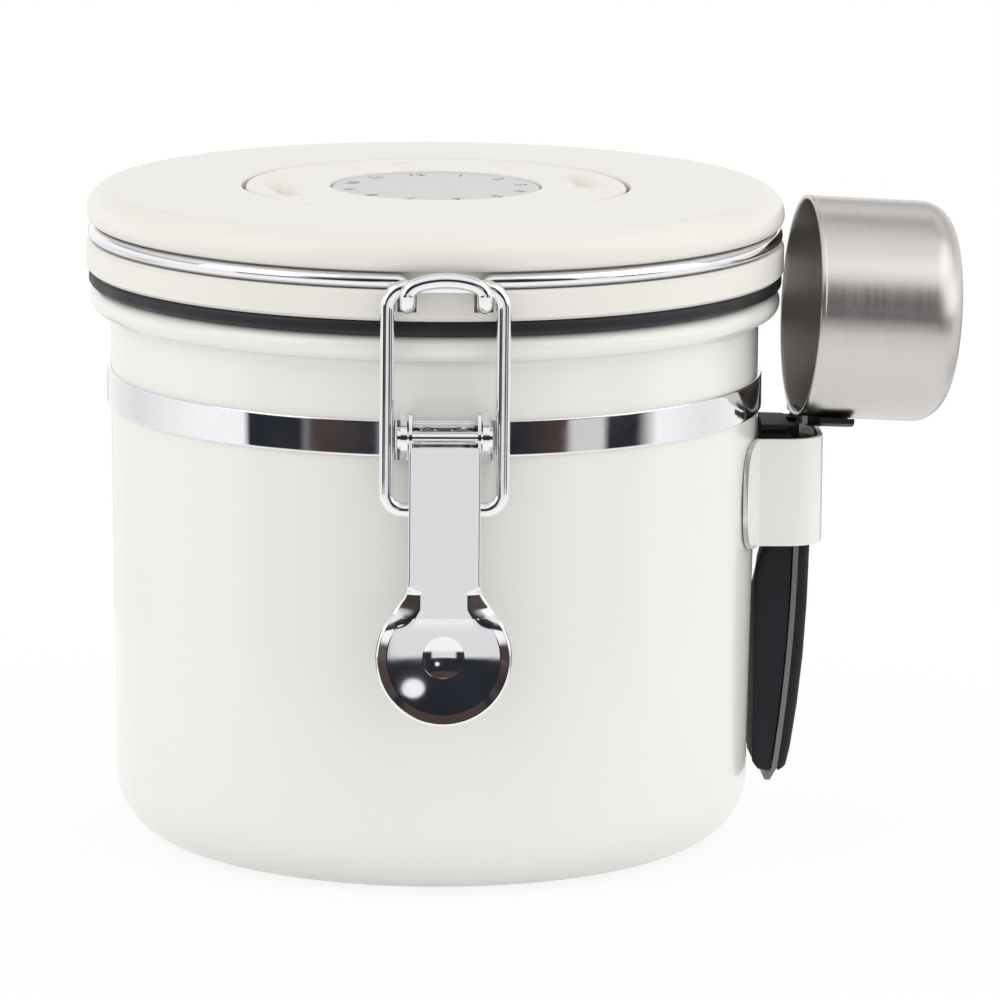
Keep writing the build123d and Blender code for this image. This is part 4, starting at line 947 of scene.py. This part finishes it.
@dataclass
class Lid:
    """The lid: cap, base, gasket and the bail wire in the groove between them."""

    finishes: Finishes
    cap_lip: float = 64.7 * MM
    cap_radius: float = 66.7 * MM
    lip_z: float = 118.6 * MM
    bulge_z: float = 120.8 * MM
    shoulder: float = 62.0 * MM
    shoulder_z: float = 125.55 * MM
    top_z: float = 125.8 * MM
    wall: float = 2.0 * MM
    inner_lip: float = 63.6 * MM
    well: float = 37.2 * MM
    well_z: float = 121.2 * MM
    well_edge: float = 0.6 * MM
    well_floor: float = 1.6 * MM
    boss: float = 17.8 * MM
    boss_z: float = 123.3 * MM
    boss_round: float = 0.3 * MM
    gasket_inner: float = 58.5 * MM
    gasket_radius: float = 66.3 * MM
    gasket_low: float = 107.0 * MM
    gasket_high: float = 109.7 * MM
    gasket_edge: float = 0.9 * MM
    wire_radius: float = 1.4 * MM
    ring_radius: float = 65.0 * MM
    wire_z: float = 116.95 * MM
    hook_x: float = 7.0 * MM
    hook_lead: float = 4.5 * MM
    hook_low: float = 113.2 * MM
    hook_front: float = -72.1 * MM
    hook_top: float = 118.2 * MM
    hook_spring: float = 2.4 * MM
    hook_bends: tuple = (0, 1.8 * MM, 2.2 * MM, 2.3 * MM, 0)
    leg_x: float = 9.2 * MM
    leg_lead: float = 6.0 * MM
    leg_bend: float = 2.4 * MM
    hinge_y: float = 70.0 * MM
    hinge_z: float = 99.5 * MM
    end_x: float = 4.4 * MM

    def cap(self) -> Surface:
        """The cap: its section turned about the axis, with the well for the dial in the middle."""
        ellipse = np.radians(np.linspace(0, 90, 24))[:, None]
        lower = np.hstack([self.cap_lip + (self.cap_radius - self.cap_lip) * np.sin(ellipse),
                           self.lip_z + (self.bulge_z - self.lip_z) * (1 - np.cos(ellipse))])
        upper = np.hstack([self.shoulder + (self.cap_radius - self.shoulder) * np.cos(ellipse),
                           self.bulge_z + (self.shoulder_z - self.bulge_z) * np.sin(ellipse)])
        edge, under, floor = self.well_edge, self.top_z - self.wall, self.well_z - self.well_floor
        crown = even(np.array([upper[-1], [self.well + edge, self.top_z]]), 3 * MM)
        crown[:, 1] = self.shoulder_z + (self.top_z - self.shoulder_z) * np.sin(
            (self.shoulder - crown[:, 0]) / (self.shoulder - self.well) * math.pi / 2)
        profile = np.vstack([
            [[0, self.boss_z]],
            rounded([[self.boss, self.boss_z], [self.boss, self.well_z], [self.well, self.well_z]],
                    [0, self.boss_round, 0]),
            arc((self.well + edge, self.top_z - edge), edge, 180, 90, 8),
            crown[::-1][1:], upper[::-1][1:], lower[::-1][1:], [[self.inner_lip, self.lip_z]],
            [[self.inner_lip, self.bulge_z], [self.shoulder - self.wall, under],
             [self.well + self.wall, under], [self.well + self.wall, floor], [0, floor]],
        ])
        return revolved(profile, ROUND)

    def gasket(self) -> Surface:
        """The gasket: a flat ring with a rounded outer edge."""
        return revolved(band_loop(self.gasket_inner, self.gasket_radius, self.gasket_low, self.gasket_high,
                                  self.gasket_edge), ROUND, closed=True)

    def corner(self, x: float, lead: float, side: Side) -> list[float]:
        """A point on the tangent of the groove's circle, a lead past the arc's end."""
        reach = math.hypot(self.ring_radius, lead)
        return [x, side.value * math.sqrt(reach ** 2 - x ** 2), self.wire_z]

    def arc_end(self, x: float, lead: float) -> float:
        """Angle off the Y axis where the groove's arc ends so that its tangent reaches x."""
        return math.asin(x / math.hypot(self.ring_radius, lead)) + math.atan2(lead, self.ring_radius)

    def bail(self) -> Surface:
        """The bail: two groove arcs, the hook's arch in front and the two legs behind, as one wire."""
        front, back = self.arc_end(self.hook_x, self.hook_lead), self.arc_end(self.leg_x, self.leg_lead)
        angle = np.linspace(math.pi - back, front, 90)
        side = stacked(self.ring_radius * np.sin(angle), -self.ring_radius * np.cos(angle), self.wire_z)
        c = self.corner(self.hook_x, self.hook_lead, Side.FRONT)
        mirror = np.array([-1, 1, 1])
        spring = self.hook_low + self.hook_spring
        half = rounded([side[-1], c, [c[0], c[1], self.hook_low], [c[0], self.hook_front, self.hook_low],
                        [c[0], self.hook_front, spring]], self.hook_bends, steps=12)
        turn = np.radians(np.linspace(0, 180, 37))[1:-1]
        rise = (self.hook_top - spring) * np.sin(turn)
        arch = stacked(c[0] * np.cos(turn), self.hook_front, spring + rise)
        d = self.corner(self.leg_x, self.leg_lead, Side.BACK)
        leg = rounded([[self.end_x, self.hinge_y, self.hinge_z], [d[0], self.hinge_y, self.hinge_z],
                       [d[0], self.hinge_y, d[2]], d, side[0]], [0] + [self.leg_bend] * 3 + [0], steps=10)
        path = np.vstack([leg[:-1], side, half[1:], arch, (half * mirror)[::-1][:-1], side[::-1] * mirror,
                          (leg * mirror)[::-1][1:]])
        return tube(even(path, WIRE_STEP), self.wire_radius, WIRE_SIDES)

    def build(self) -> None:
        """Make the lid's visible pieces and finish the rest."""
        piece("cap", self.cap(), self.finishes.lid, "lid", ("lid_cap",))
        piece("seal_ring", self.gasket(), self.finishes.gasket, "lid", ("gasket",))
        piece("bail", self.bail(), self.finishes.plating, "lid", ("bail_wire",))
        dress("lid_base", self.finishes.lid)
        for node in ("lid_screws", "dial_detent", "valve_filter"):
            dress(node, self.finishes.steel)
        for node in ("dial_retainer", "valve_housing", "valve_cover"):
            dress(node, self.finishes.valve)
        dress("valve_flap", self.finishes.flap)


@dataclass
class Dial:
    """The turning ring with its finger recesses, and the silver disc with the numbers."""

    finishes: Finishes
    outer: float = 36.4 * MM
    hole: float = 20.3 * MM
    step: float = 18.2 * MM
    low_z: float = 121.8 * MM
    step_z: float = 123.0 * MM
    top_z: float = 125.65 * MM
    edge: float = 0.8 * MM
    grip_deg: float = 12.0
    grip_reach: float = 29.3 * MM
    grip_length: float = 20.0 * MM
    grip_width: float = 6.4 * MM
    grip_depth: float = 2.0 * MM
    grip_soft: float = 1.3 * MM
    pointer_deg: float = 102.0
    pointer_reach: float = 30.6 * MM
    pointer_length: float = 4.6 * MM
    pointer_width: float = 7.4 * MM
    pointer_depth: float = 0.7 * MM
    pointer_soft: float = 0.35 * MM
    disc_radius: float = 19.9 * MM
    disc_low: float = 124.4 * MM
    disc_top: float = 125.2 * MM
    disc_edge: float = 0.3 * MM
    disc_inner: float = 0.6
    number_reach: float = 16.6 * MM
    number_size: float = 3.6 * MM
    number_depth: float = 0.02 * MM
    number_lift: float = 0.012 * MM
    twelve_deg: float = 102.0

    def hollow(self, x: Array, y: Array) -> Array:
        """Depth of the recesses at a place: two slots with round ends and one arrow.

        A slot's depth falls smoothly with the distance from its middle line, and the arrow's
        with the largest of its distances outside its three sides.
        """
        depth = np.zeros_like(x)
        wide = self.grip_width / 2
        for turn in (0.0, 180.0):
            radial, along = spun(x, y, -self.grip_deg - turn)
            over = np.maximum(np.abs(along) - (self.grip_length / 2 - wide), 0)
            far = np.hypot(radial - self.grip_reach, over)
            depth = np.maximum(depth, self.grip_depth * (1 - smooth_step(far, wide - self.grip_soft, wide)))
        radial, along = spun(x, y, -self.pointer_deg)
        radial -= self.pointer_reach
        slope = math.atan2(self.pointer_width / 2, self.pointer_length)
        half = self.pointer_length / 2
        slanted = np.abs(along) * math.cos(slope) - (radial + half) * math.sin(slope)
        outside = np.maximum(radial - half, slanted)
        return np.maximum(depth, self.pointer_depth * (1 - smooth_step(outside, -self.pointer_soft, 0.0)))

    def ring(self) -> Surface:
        """The ring: its section turned about the axis, with the top face lowered by the recesses."""
        e = self.edge
        top = np.linspace(self.outer - e, self.hole + e / 2, 70)
        profile = np.vstack([
            [[self.step, self.low_z], [self.outer, self.low_z]],
            arc((self.outer - e, self.top_z - e), e, 0, 90, 8)[:-1],
            stacked(top, self.top_z),
            arc((self.hole + e / 2, self.top_z - e / 2), e / 2, 90, 180, 6)[1:],
            [[self.hole, self.step_z], [self.step, self.step_z]],
        ])
        surface = revolved(profile, 640, closed=True)
        p = surface.points.copy()
        on_top = p[:, 2] > self.top_z - 0.001 * MM
        p[:, 2] -= np.where(on_top, self.hollow(p[:, 0], p[:, 1]), 0)
        return surface.moved(p)

    def numbers(self) -> Surface:
        """The numbers 1 to 12 round the disc's margin, each upright towards the middle."""
        shapes = []
        for number in range(1, 13):
            curve = bpy.data.curves.new("figure", "FONT")
            curve.body = str(number)
            curve.size = self.number_size
            curve.align_x, curve.align_y = "CENTER", "CENTER"
            curve.extrude = self.number_depth
            curve.resolution_u = 3
            thing = bpy.data.objects.new("figure", curve)
            bpy.context.scene.collection.objects.link(thing)
            bpy.context.view_layer.update()
            graph = bpy.context.evaluated_depsgraph_get()
            mesh = bpy.data.meshes.new_from_object(thing.evaluated_get(graph))
            points = np.array([v.co for v in mesh.vertices])
            faces = [list(f.vertices) for f in mesh.polygons]
            x, y = spun(self.number_reach + points[:, 1], -points[:, 0], self.twelve_deg - 30.0 * number)
            z = self.disc_top + self.number_lift + points[:, 2]
            shapes.append(Surface(stacked(x, y, z), np.empty((0, 4), int), faces))
            bpy.data.objects.remove(thing)
            bpy.data.curves.remove(curve)
            bpy.data.meshes.remove(mesh)
        return joined(*shapes)

    def disc(self) -> Surface:
        """The disc: a flat plate with a softly rounded rim."""
        e, radius, low, top = self.disc_edge, self.disc_radius, self.disc_low, self.disc_top
        return revolved(np.vstack([[[0, low]], [[radius, low]], arc((radius - e, top - e), e, 0, 90, 6),
                                   [[radius * self.disc_inner, top], [0, top]]]), 160)

    def build(self) -> None:
        """Make the ring, the disc and the numbers."""
        piece("turning_ring", self.ring(), self.finishes.lid, "dial", ("dial_ring",))
        piece("number_disc", self.disc(), self.finishes.dial, "lid", ("dial_disc",))
        piece("month_numbers", self.numbers(), self.finishes.ink, "lid")


@dataclass
class Scoop:
    """The scoop in its strap: brushed cup, strip handle, black cover, and the bag clip's jaw.

    The two grips' lines of x and z, and the radii of their corners, are in millimetres.
    """

    finishes: Finishes
    pin_x: float = 70.9 * MM
    pin_z: float = 79.2 * MM
    lean_deg: float = 1.7
    twist_deg: float = 2.0
    cup_twist_deg: float = 3.6
    cup_lean_deg: float = 1.7
    cup_shift: float = -0.75 * MM
    mouth_x: float = 70.35 * MM
    cup_z: float = 102.5 * MM
    cup_radius: float = 21.25 * MM
    cup_wall: float = 0.7 * MM
    cup_depth: float = 29.5 * MM
    cup_corner: float = 6.2 * MM
    cup_dome: float = 1.1 * MM
    rim_width: float = 0.12 * MM
    rim_length: float = 0.8 * MM
    rim_step: float = 0.2 * MM
    rim_rounds: tuple = (0, 0.2 * MM, 0.35 * MM, 0.25 * MM, 0)
    strip: float = 1.0 * MM
    strip_bend: float = 51.45 * MM
    strip_foot: tuple[float, float] = (2.2 * MM, 13.4 * MM)
    width: float = 16.4 * MM
    cover_width: float = 15.4 * MM
    gap: float = 0.3 * MM
    can_gap: float = 0.1 * MM
    band_z: float = 83.7 * MM
    band_run: float = 2.5 * MM
    travel: float = 18.0 * MM
    opening_deg: float = 0.75
    softness: float = 1.5 * MM
    soft_run: tuple[float, float] = (0.1 * MM, 2.2 * MM)
    jaw_top: float = 1.1 * MM
    jaw_line: tuple = ((61.4, 80.3), (63.3, 62.0), (63.8, 57.5), (62.55, 52.0), (62.2, 44.0), (62.0, 36.0),
                       (62.3, 26.0), (62.7, 18.0), (63.1, 14.6), (64.6, 12.6), (66.2, 12.4))
    jaw_rounds: tuple = (0, 6, 3, 4, 4, 4, 4, 4, 1.6, 1.2, 0)
    cover_drop: float = 2.2 * MM
    cover_top: float = 72.65 * MM
    cover_line: tuple = ((68.4, 12.6), (69.9, 12.8), (70.75, 17.2), (71.7, 25.6), (72.4, 35.3), (72.7, 46.0))
    cover_rounds: tuple = (0, 1.6, 6, 8, 8, 0)
    waist: float = 1.7 * MM
    waist_z: tuple[float, float] = (40 * MM, 52 * MM)
    waist_x: tuple[float, float] = (64 * MM, 68 * MM)
    relief: float = 1.2 * MM
    relief_low: float = 1.5 * MM
    relief_high: float = 0.5 * MM
    knuckle: float = 1.3 * MM
    knuckle_inner: float = 2.7 * MM
    knuckle_outer: float = 6.7 * MM
    tab_gap: float = 0.75 * MM
    tab_half: float = 8.5 * MM
    tab_length: float = 9.0 * MM
    tab_neck: float = 0.6 * MM

    def placed(self, surface: Surface, with_cup: bool = False) -> Surface:
        """Lean and twist a piece about the clip's pin, after the cup's own twist about its mouth.

        A turn by t about an upright line maps (x, y) to (x cos t - y sin t, x sin t + y cos t)
        from the line, and the lean maps (x, z) to (x cos t + z sin t, z cos t - x sin t).
        """
        p = surface.points.copy()
        if with_cup:
            p = self.turned(p, self.mouth_x, self.cup_twist_deg)
        z, x = spun(p[:, 2] - self.pin_z, p[:, 0] - self.pin_x, self.lean_deg)
        p = stacked(self.pin_x + x, p[:, 1], self.pin_z + z)
        return surface.moved(self.turned(p, self.pin_x, self.twist_deg))

    @staticmethod
    def turned(points: Array, x: float, degrees: float) -> Array:
        """Turn points about the upright line at a place on the X axis."""
        dx, y = spun(points[:, 0] - x, points[:, 1], degrees)
        return stacked(x + dx, y, points[:, 2])

    def cup(self) -> Surface:
        """The cup: its section turned about a level axis, with a rim bead and a rounded end."""
        r, wall, c, depth = self.cup_radius, self.cup_wall, self.cup_corner, self.cup_depth
        rim, end = r + self.rim_width, self.rim_length
        flat = depth - self.cup_dome
        dome = np.linspace(0, r - c, 10)[:-1, None]
        loop = np.vstack([
            np.hstack([dome, depth - self.cup_dome * (dome / (r - c)) ** 2]),
            arc((r - c, flat - c), c, 84, 0, 22),
            even(np.array([[r, flat - c], [r, end + 1.5 * self.rim_step]]), 2 * MM)[1:],
            rounded([[r, end + self.rim_step], [rim, end], [rim, 0], [r - wall, 0], [r - wall, end]],
                    self.rim_rounds, steps=4),
            even(np.array([[r - wall, end], [r - wall, flat - c]]), 2 * MM)[1:-1],
            arc((r - c, flat - c), c - wall, 0, 90, 18), [[0, depth - wall]],
        ])
        surface = revolved(loop, 192)
        p = surface.points
        z, x = spun(p[:, 1], p[:, 2], self.cup_lean_deg)
        points = stacked(self.mouth_x + self.cup_shift + x, p[:, 0], self.cup_z + z)
        uv = stacked(p[:, 2] / depth, surface.uv[:, 1])
        return self.placed(Surface(points, surface.quads, surface.caps, uv), with_cup=True)

    def strip_side(self, offset: float) -> Array:
        """The strip's line moved sideways: straight, then bent by the square of the drop below the bend."""
        shift, foot = self.strip_foot
        z = np.linspace(self.strip_bend, foot, 24)
        drop = (self.strip_bend - z) / (self.strip_bend - foot)
        return stacked(self.mouth_x - self.strip / 2 + offset - shift * drop ** 2, z)

    def clear_of_can(self, surface: Surface) -> Surface:
        """Push points out of the room that the can, its band and the jaw's own swing need.

        The wall's radius, read at the scoop's highest place, grows evenly with height up to the
        straight part and steps out at the band. The swing adds the opening angle times the depth
        below the pin. A point nearer to the axis keeps its Y and moves out in X.
        """
        p = surface.points.copy()
        z = p[:, 2] + self.travel
        share = np.clip((z - Can.corner) / (Can.straight_z - Can.corner), 0, 1)
        reach = Can.base_radius + (Can.radius - Can.base_radius) * share + self.can_gap
        reach += (Band.outer - Can.radius) * smooth_step(z, self.band_z - self.band_run, self.band_z)
        reach += math.radians(self.opening_deg) * np.maximum(self.pin_z - p[:, 2], 0)
        p[:, 0] = np.maximum(p[:, 0], np.sqrt(reach ** 2 - p[:, 1] ** 2))
        return surface.moved(p)

    def soft(self, outline: Array, offset: float, width: float) -> Surface:
        """A grip's outline across its width, rounded everywhere but next to the strip."""
        line = self.strip_side(offset)
        outline = even(outline, 0.9 * MM, closed=True)
        far = np.abs(outline[:, 0] - np.interp(outline[:, 1], line[::-1, 1], line[::-1, 0]))
        return cushion(outline, -width / 2, width / 2, self.softness, smooth_step(far, *self.soft_run))

    def jaw(self) -> Surface:
        """The jaw's thick shell, hollowed along the can, with its arms, knuckles and thumb tab.

        The shell's back half stands further out from the can in its upper part, by the waist's
        depth times its share of the width.
        """
        face_x = self.mouth_x - self.strip - self.gap
        top = self.pin_z + self.jaw_top
        side = self.strip_side(-self.strip / 2 - self.gap)
        left = rounded(np.array(self.jaw_line) * MM, np.array(self.jaw_rounds) * MM, steps=6)
        left[0, 1] = top
        back_x = face_x - self.relief
        low, high = self.pin_z - self.relief_low, self.pin_z - self.relief_high
        relief = np.array([[face_x, low], [back_x, high], [back_x, top]])
        outline = np.vstack([left, side[::-1], relief])
        shell = self.placed(self.soft(outline, -self.strip / 2 - self.gap, self.width))
        p = shell.points
        away = self.waist * smooth_step(p[:, 2], *self.waist_z) * np.clip(p[:, 1] / self.width + 0.5, 0, 1)
        away *= 1 - smooth_step(p[:, 0], *self.waist_x)
        parts = [self.clear_of_can(shell.moved(p + stacked(away, 0.0, 0.0)))]
        low_z, high_z = self.pin_z - MM, self.pin_z + MM
        arm = np.array([[back_x, low_z], [self.pin_x, low_z], [self.pin_x, high_z], [back_x, high_z]])
        near, far = self.knuckle_inner, self.knuckle_outer
        for low, high in ((-far, -near), (near, far)):
            path = stacked(self.pin_x, np.linspace(low, high, 3), self.pin_z)
            parts += [self.placed(tube(path, self.knuckle, 28)), self.placed(slab(arm, low, high))]
        parts.append(self.placed(self.tab()))
        return joined(*parts)

    def tab(self) -> Surface:
        """The thumb tab: a sheet that follows the cup's underside, as an arc about the cup's axis."""
        inner, half = self.cup_radius + self.rim_width + self.tab_gap, self.tab_half
        length = np.linspace(0, self.tab_length, 12)
        angle = np.linspace(-math.asin(half / inner), math.asin(half / inner), 24)
        out = stacked(np.sin(angle), -np.cos(angle))
        loop = np.vstack([inner * out, (inner + MM) * out[::-1]])
        narrow = np.where(length < self.knuckle + self.tab_neck, self.knuckle_outer / half, 1.0)[:, None]
        points = stacked(self.pin_x + length[:, None], loop[:, 0] * narrow, self.cup_z + loop[:, 1])
        return grid(points, wrap_v=True, cap=True)

    def cover(self) -> Surface:
        """The black cover: the strip's line on one side and a bowed outer face on the other."""
        side = self.strip_side(self.strip / 2)
        top = self.pin_z - self.cover_drop
        outer = rounded(np.array(self.cover_line) * MM, np.array(self.cover_rounds) * MM, steps=6)
        outline = np.vstack([[[side[0, 0], top]], side, outer, [[self.cover_top, top]]])
        return self.placed(self.soft(outline, self.strip / 2, self.cover_width))

    def build(self) -> None:
        """Make the scoop's pieces."""
        piece("cup", self.cup(), self.finishes.cup, "scoop", ("scoop_cup",))
        for name, surface, body, node in (("grip_jaw", self.jaw(), "clip_jaw", "clip_jaw"),
                                          ("grip_cover", self.cover(), "scoop", "handle_cover")):
            piece(name, surface, self.finishes.grip, body, (node,))
        dress("handle_strip", self.finishes.strip)
        dress("cover_rivets", self.finishes.steel)
        for node in ("clip_pin", "clip_spring"):
            dress(node, self.finishes.spring)


class Sky(Nodes):
    """The world's nodes, with ramps and backgrounds."""

    def ramp(self, value: Socket, stops: tuple) -> Socket:
        """Grey levels or colours along a value from 0 to 1.

        Args:
            value: what the ramp reads.
            stops: pairs of a place and a grey level or colour.

        Returns:
            The ramp's colour socket.
        """
        node = self.add("ShaderNodeValToRGB")
        marks = node.color_ramp.elements
        for i, (position, shade) in enumerate(stops):
            mark = marks[i] if i < 2 else marks.new(position)
            mark.position = position
            mark.color = (*(shade if isinstance(shade, tuple) else (shade,) * 3), 1)
        self.link(value, node.inputs[0])
        return node.outputs["Color"]

    def background(self, colour: object) -> Socket:
        """A background of a constant colour or of a socket's."""
        node = self.add("ShaderNodeBackground")
        if isinstance(colour, tuple):
            node.inputs["Color"].default_value = (*colour, 1)
        else:
            self.link(colour, node.inputs["Color"])
        return node.outputs[0]


@dataclass
class Studio:
    """Camera, lamps, world and floor.

    Each ramp is a row of places with a grey level or a colour. A lamp has a name, place, size and
    power. The bulb's side and rise each have a middle and a half width. The floor's glow goes from
    its first share to its second while the distance from the middle passes the fade's two values.
    """

    distance: float = 1.3
    height: float = 0.308
    azimuth_deg: float = -1.6
    yaw_deg: float = 0.563
    pitch_deg: float = 10.613
    roll_deg: float = 0.5306
    lens: float = 246.91
    sensor: float = 36.0
    clip: tuple[float, float] = (0.05, 20.0)
    floor_radius: float = 0.22
    floor_z: float = -0.05 * MM
    floor_sides: int = 128
    floor_glow: tuple[float, float] = (0.88, 1.0)
    floor_fade: tuple[float, float] = (0.06, 0.2)
    lamp_target: tuple = (0, 0, 0.07)
    lamps: tuple = (("left lamp", (-1.1, -0.5, 0.8), 1.0, 4.0), ("right lamp", (1.1, -0.4, 0.7), 1.4, 4.9))
    bulb_side: tuple[float, float] = (0.534, 0.011)
    bulb_rise: tuple[float, float] = (0.536, 0.018)
    tabletop: tuple = (0.93, 0.925, 0.92)
    gaps: tuple = ((0.0, NAVY), (0.012, NAVY), (0.025, 1.0), (0.14, 0.8), (0.25, 1.0), (0.302, 1.0),
                   (0.308, NAVY), (0.366, NAVY), (0.369, 0.3), (0.373, 0.08), (0.379, UMBER), (0.44, NAVY),
                   (0.45, 0.78), (0.557, 0.78), (0.563, NAVY), (0.575, NAVY), (0.625, UMBER), (0.63, 0.65),
                   (0.665, 0.65), (0.67, NAVY), (0.705, NAVY), (0.73, 1.0), (0.8, 0.85), (0.885, 1.0),
                   (0.895, NAVY), (1.0, NAVY))
    room: tuple = ((0.0, 1.0), (0.35, 1.0), (0.39, UMBER), (0.42, NAVY), (0.58, NAVY), (0.6, UMBER),
                   (0.65, UMBER), (0.69, 1.0))
    shelf: tuple = ((0.0, 0.0), (0.6, 0.0), (0.61, 1.0), (1.0, 1.0))
    below: tuple = ((0.0, 1.0), (0.473, 1.0), (0.48, 0.0), (1.0, 0.0))
    above: tuple = ((0.0, 1.0), (0.41, 1.0), (0.424, 0.0), (0.56, 0.0), (0.62, 0.45), (0.7, 0.85),
                    (0.76, 1.0))
    front: tuple = ((0.0, 0.0), (0.4, 0.0), (0.43, 1.0), (0.58, 1.0), (0.61, 0.0))
    front_rise: tuple = ((0.0, 0.0), (0.55, 0.0), (0.56, 1.0), (0.66, 1.0), (0.69, 0.0))
    under: tuple = ((0.0, 1.0), (0.38, 1.0), (0.4, 0.0))
    table: tuple = ((0.0, UMBER), (0.06, 0.2), (0.09, 0.95), (0.16, 0.55), (0.2, 0.93), (0.8, 0.93),
                    (0.84, 0.45), (0.9, 0.95), (0.94, 0.15), (1.0, UMBER))
    behind_y: float = 0.1
    behind: tuple = ((0.0, 0.0), (0.79, 0.0), (0.83, 0.6), (0.875, 0.6), (0.905, 0.0))
    soft_side: tuple = ((0.0, 0.95), (0.24, 1.0), (0.36, 0.93), (0.5, 0.71), (0.64, 0.97), (0.76, 1.0),
                        (1.0, 0.95))
    soft_rise: tuple = ((0.0, 0.9), (0.45, 1.0), (0.6, 1.0), (0.8, 0.88), (1.0, 0.8))

    def camera(self) -> None:
        """Place the camera: it looks along its yaw and pitch, rolled about that line."""
        a, e, r = (math.radians(angle) for angle in (self.azimuth_deg, self.pitch_deg, self.roll_deg))
        heading = math.radians(self.yaw_deg) - a
        ahead = Vector((math.sin(heading) * math.cos(e), math.cos(heading) * math.cos(e), -math.sin(e)))
        level = Vector((math.cos(heading), -math.sin(heading), 0))
        over = level.cross(ahead)
        right = level * math.cos(r) + over * math.sin(r)
        up = over * math.cos(r) - level * math.sin(r)
        data = bpy.data.cameras.new("camera")
        data.lens, data.sensor_width = self.lens, self.sensor
        data.clip_start, data.clip_end = self.clip
        thing = bpy.data.objects.new("camera", data)
        place = Vector((self.distance * math.sin(a), -self.distance * math.cos(a), self.height))
        turn = Matrix((right, up, -ahead)).transposed().to_4x4()
        thing.matrix_world = Matrix.Translation(place) @ turn
        bpy.context.scene.collection.objects.link(thing)
        bpy.context.scene.camera = thing

    def lamp(self, name: str, place: tuple, size: float, power: float) -> None:
        """A square area lamp that faces the can's middle."""
        data = bpy.data.lights.new(name, "AREA")
        data.size, data.energy = size, power
        thing = bpy.data.objects.new(name, data)
        thing.location = place
        aim = Vector(self.lamp_target) - Vector(place)
        thing.rotation_euler = aim.to_track_quat("-Z", "Y").to_euler()
        bpy.context.scene.collection.objects.link(thing)

    def world(self) -> None:
        """White all round for the camera and plain light, with the room's dark parts in reflections.

        Side is a direction's azimuth as a share of a full turn, 0.5 in front of the can and more
        towards +X. Rise is its elevation, 0 straight down, 0.5 level and 1 straight up.
        """
        world = bpy.data.worlds.new("studio")
        world.use_nodes = True
        bpy.context.scene.world = world
        world.node_tree.nodes.clear()
        sky = Sky(world.node_tree)
        split = sky.add("ShaderNodeSeparateXYZ")
        sky.link(sky.add("ShaderNodeTexCoord").outputs["Generated"], split.inputs[0])
        x, y, z = split.outputs
        turn = sky.calc("DIVIDE", sky.calc("ARCTAN2", x, sky.calc("MULTIPLY", y, -1.0)), 2 * math.pi)
        side = sky.calc("ADD", turn, 0.5)
        rise = sky.calc("ADD", sky.calc("DIVIDE", sky.calc("ARCSINE", z), math.pi), 0.5)
        shelf = sky.mixed(sky.ramp(rise, self.shelf), sky.ramp(side, self.room), UMBER)
        off = [sky.calc("POWER", sky.calc("DIVIDE", sky.calc("SUBTRACT", value, middle), reach), 2.0)
               for value, (middle, reach) in ((side, self.bulb_side), (rise, self.bulb_rise))]
        room = sky.mixed(sky.calc("LESS_THAN", sky.calc("ADD", *off), 1.0), shelf, WHITE)
        level = sky.mixed(sky.ramp(rise, self.below), room, sky.ramp(side, self.gaps))
        table = sky.mixed(sky.ramp(rise, self.under), self.tabletop, sky.ramp(side, self.table))
        front = sky.calc("MULTIPLY", sky.ramp(side, self.front), sky.ramp(rise, self.front_rise))
        open_share = sky.calc("MULTIPLY", sky.ramp(rise, self.above), sky.calc("SUBTRACT", 1.0, front))
        back = sky.calc("GREATER_THAN", y, self.behind_y)
        behind = sky.calc("MULTIPLY", back, sky.ramp(rise, self.behind))
        mirrored = sky.background(sky.mixed(behind, sky.mixed(open_share, level, table), UMBER))
        soft = sky.calc("MULTIPLY", sky.ramp(side, self.soft_side), sky.ramp(rise, self.soft_rise))
        path = sky.add("ShaderNodeLightPath")
        seen = sky.either(path.outputs["Is Glossy Ray"], sky.background(soft), mirrored)
        seen = sky.either(path.outputs["Is Camera Ray"], seen, sky.background(WHITE))
        sky.link(seen, sky.add("ShaderNodeOutputWorld").inputs["Surface"])

    def floor(self) -> None:
        """A round white floor that keeps a faint shadow and fades to plain white at its edge."""
        angle = np.linspace(0, 2 * math.pi, self.floor_sides, endpoint=False)
        reach = np.linspace(0, self.floor_radius, 12)[1:, None]
        surface = grid(stacked(reach * np.cos(angle), reach * np.sin(angle), self.floor_z), wrap_v=True)
        mesh = bpy.data.meshes.new("floor")
        faces = surface.quads.tolist() + [list(range(self.floor_sides))]
        mesh.from_pydata(surface.points.tolist(), [], faces)
        thing = bpy.data.objects.new("floor", mesh)
        bpy.context.scene.collection.objects.link(thing)
        recipe = Recipe("floor", Base_Color=(0.9, 0.9, 0.9, 1), Roughness=0.9)
        glow = recipe.add("ShaderNodeEmission")
        glow.inputs["Strength"].default_value = 1.0
        fade = recipe.spread(recipe.distance(0, 1, 2), *self.floor_glow, *self.floor_fade)
        path = recipe.add("ShaderNodeLightPath")
        seen = recipe.calc("MAXIMUM", path.outputs["Is Camera Ray"], path.outputs["Is Glossy Ray"])
        share = recipe.calc("MULTIPLY", fade, seen)
        faded = recipe.either(share, recipe.shader.outputs[0], glow.outputs[0])
        recipe.link(faded, recipe.tree.nodes["Material Output"].inputs["Surface"])
        mesh.materials.append(recipe.material)

    def build(self) -> None:
        """Set up camera, lamps, world and floor."""
        bpy.context.scene.view_settings.view_transform = "Standard"
        self.camera()
        self.world()
        self.floor()
        for lamp in self.lamps:
            self.lamp(*lamp)
        log.info("studio: camera, two lamps, world and floor")


def main() -> None:
    """Build the canister's pieces, then the studio."""
    finishes = Finishes()
    for kind in (Can, Band, Latch, Lid, Dial, Scoop):
        kind(finishes).build()
        log.info("%s done", kind.__name__)
    Studio().build()


if __name__ == "__main__":
    main()
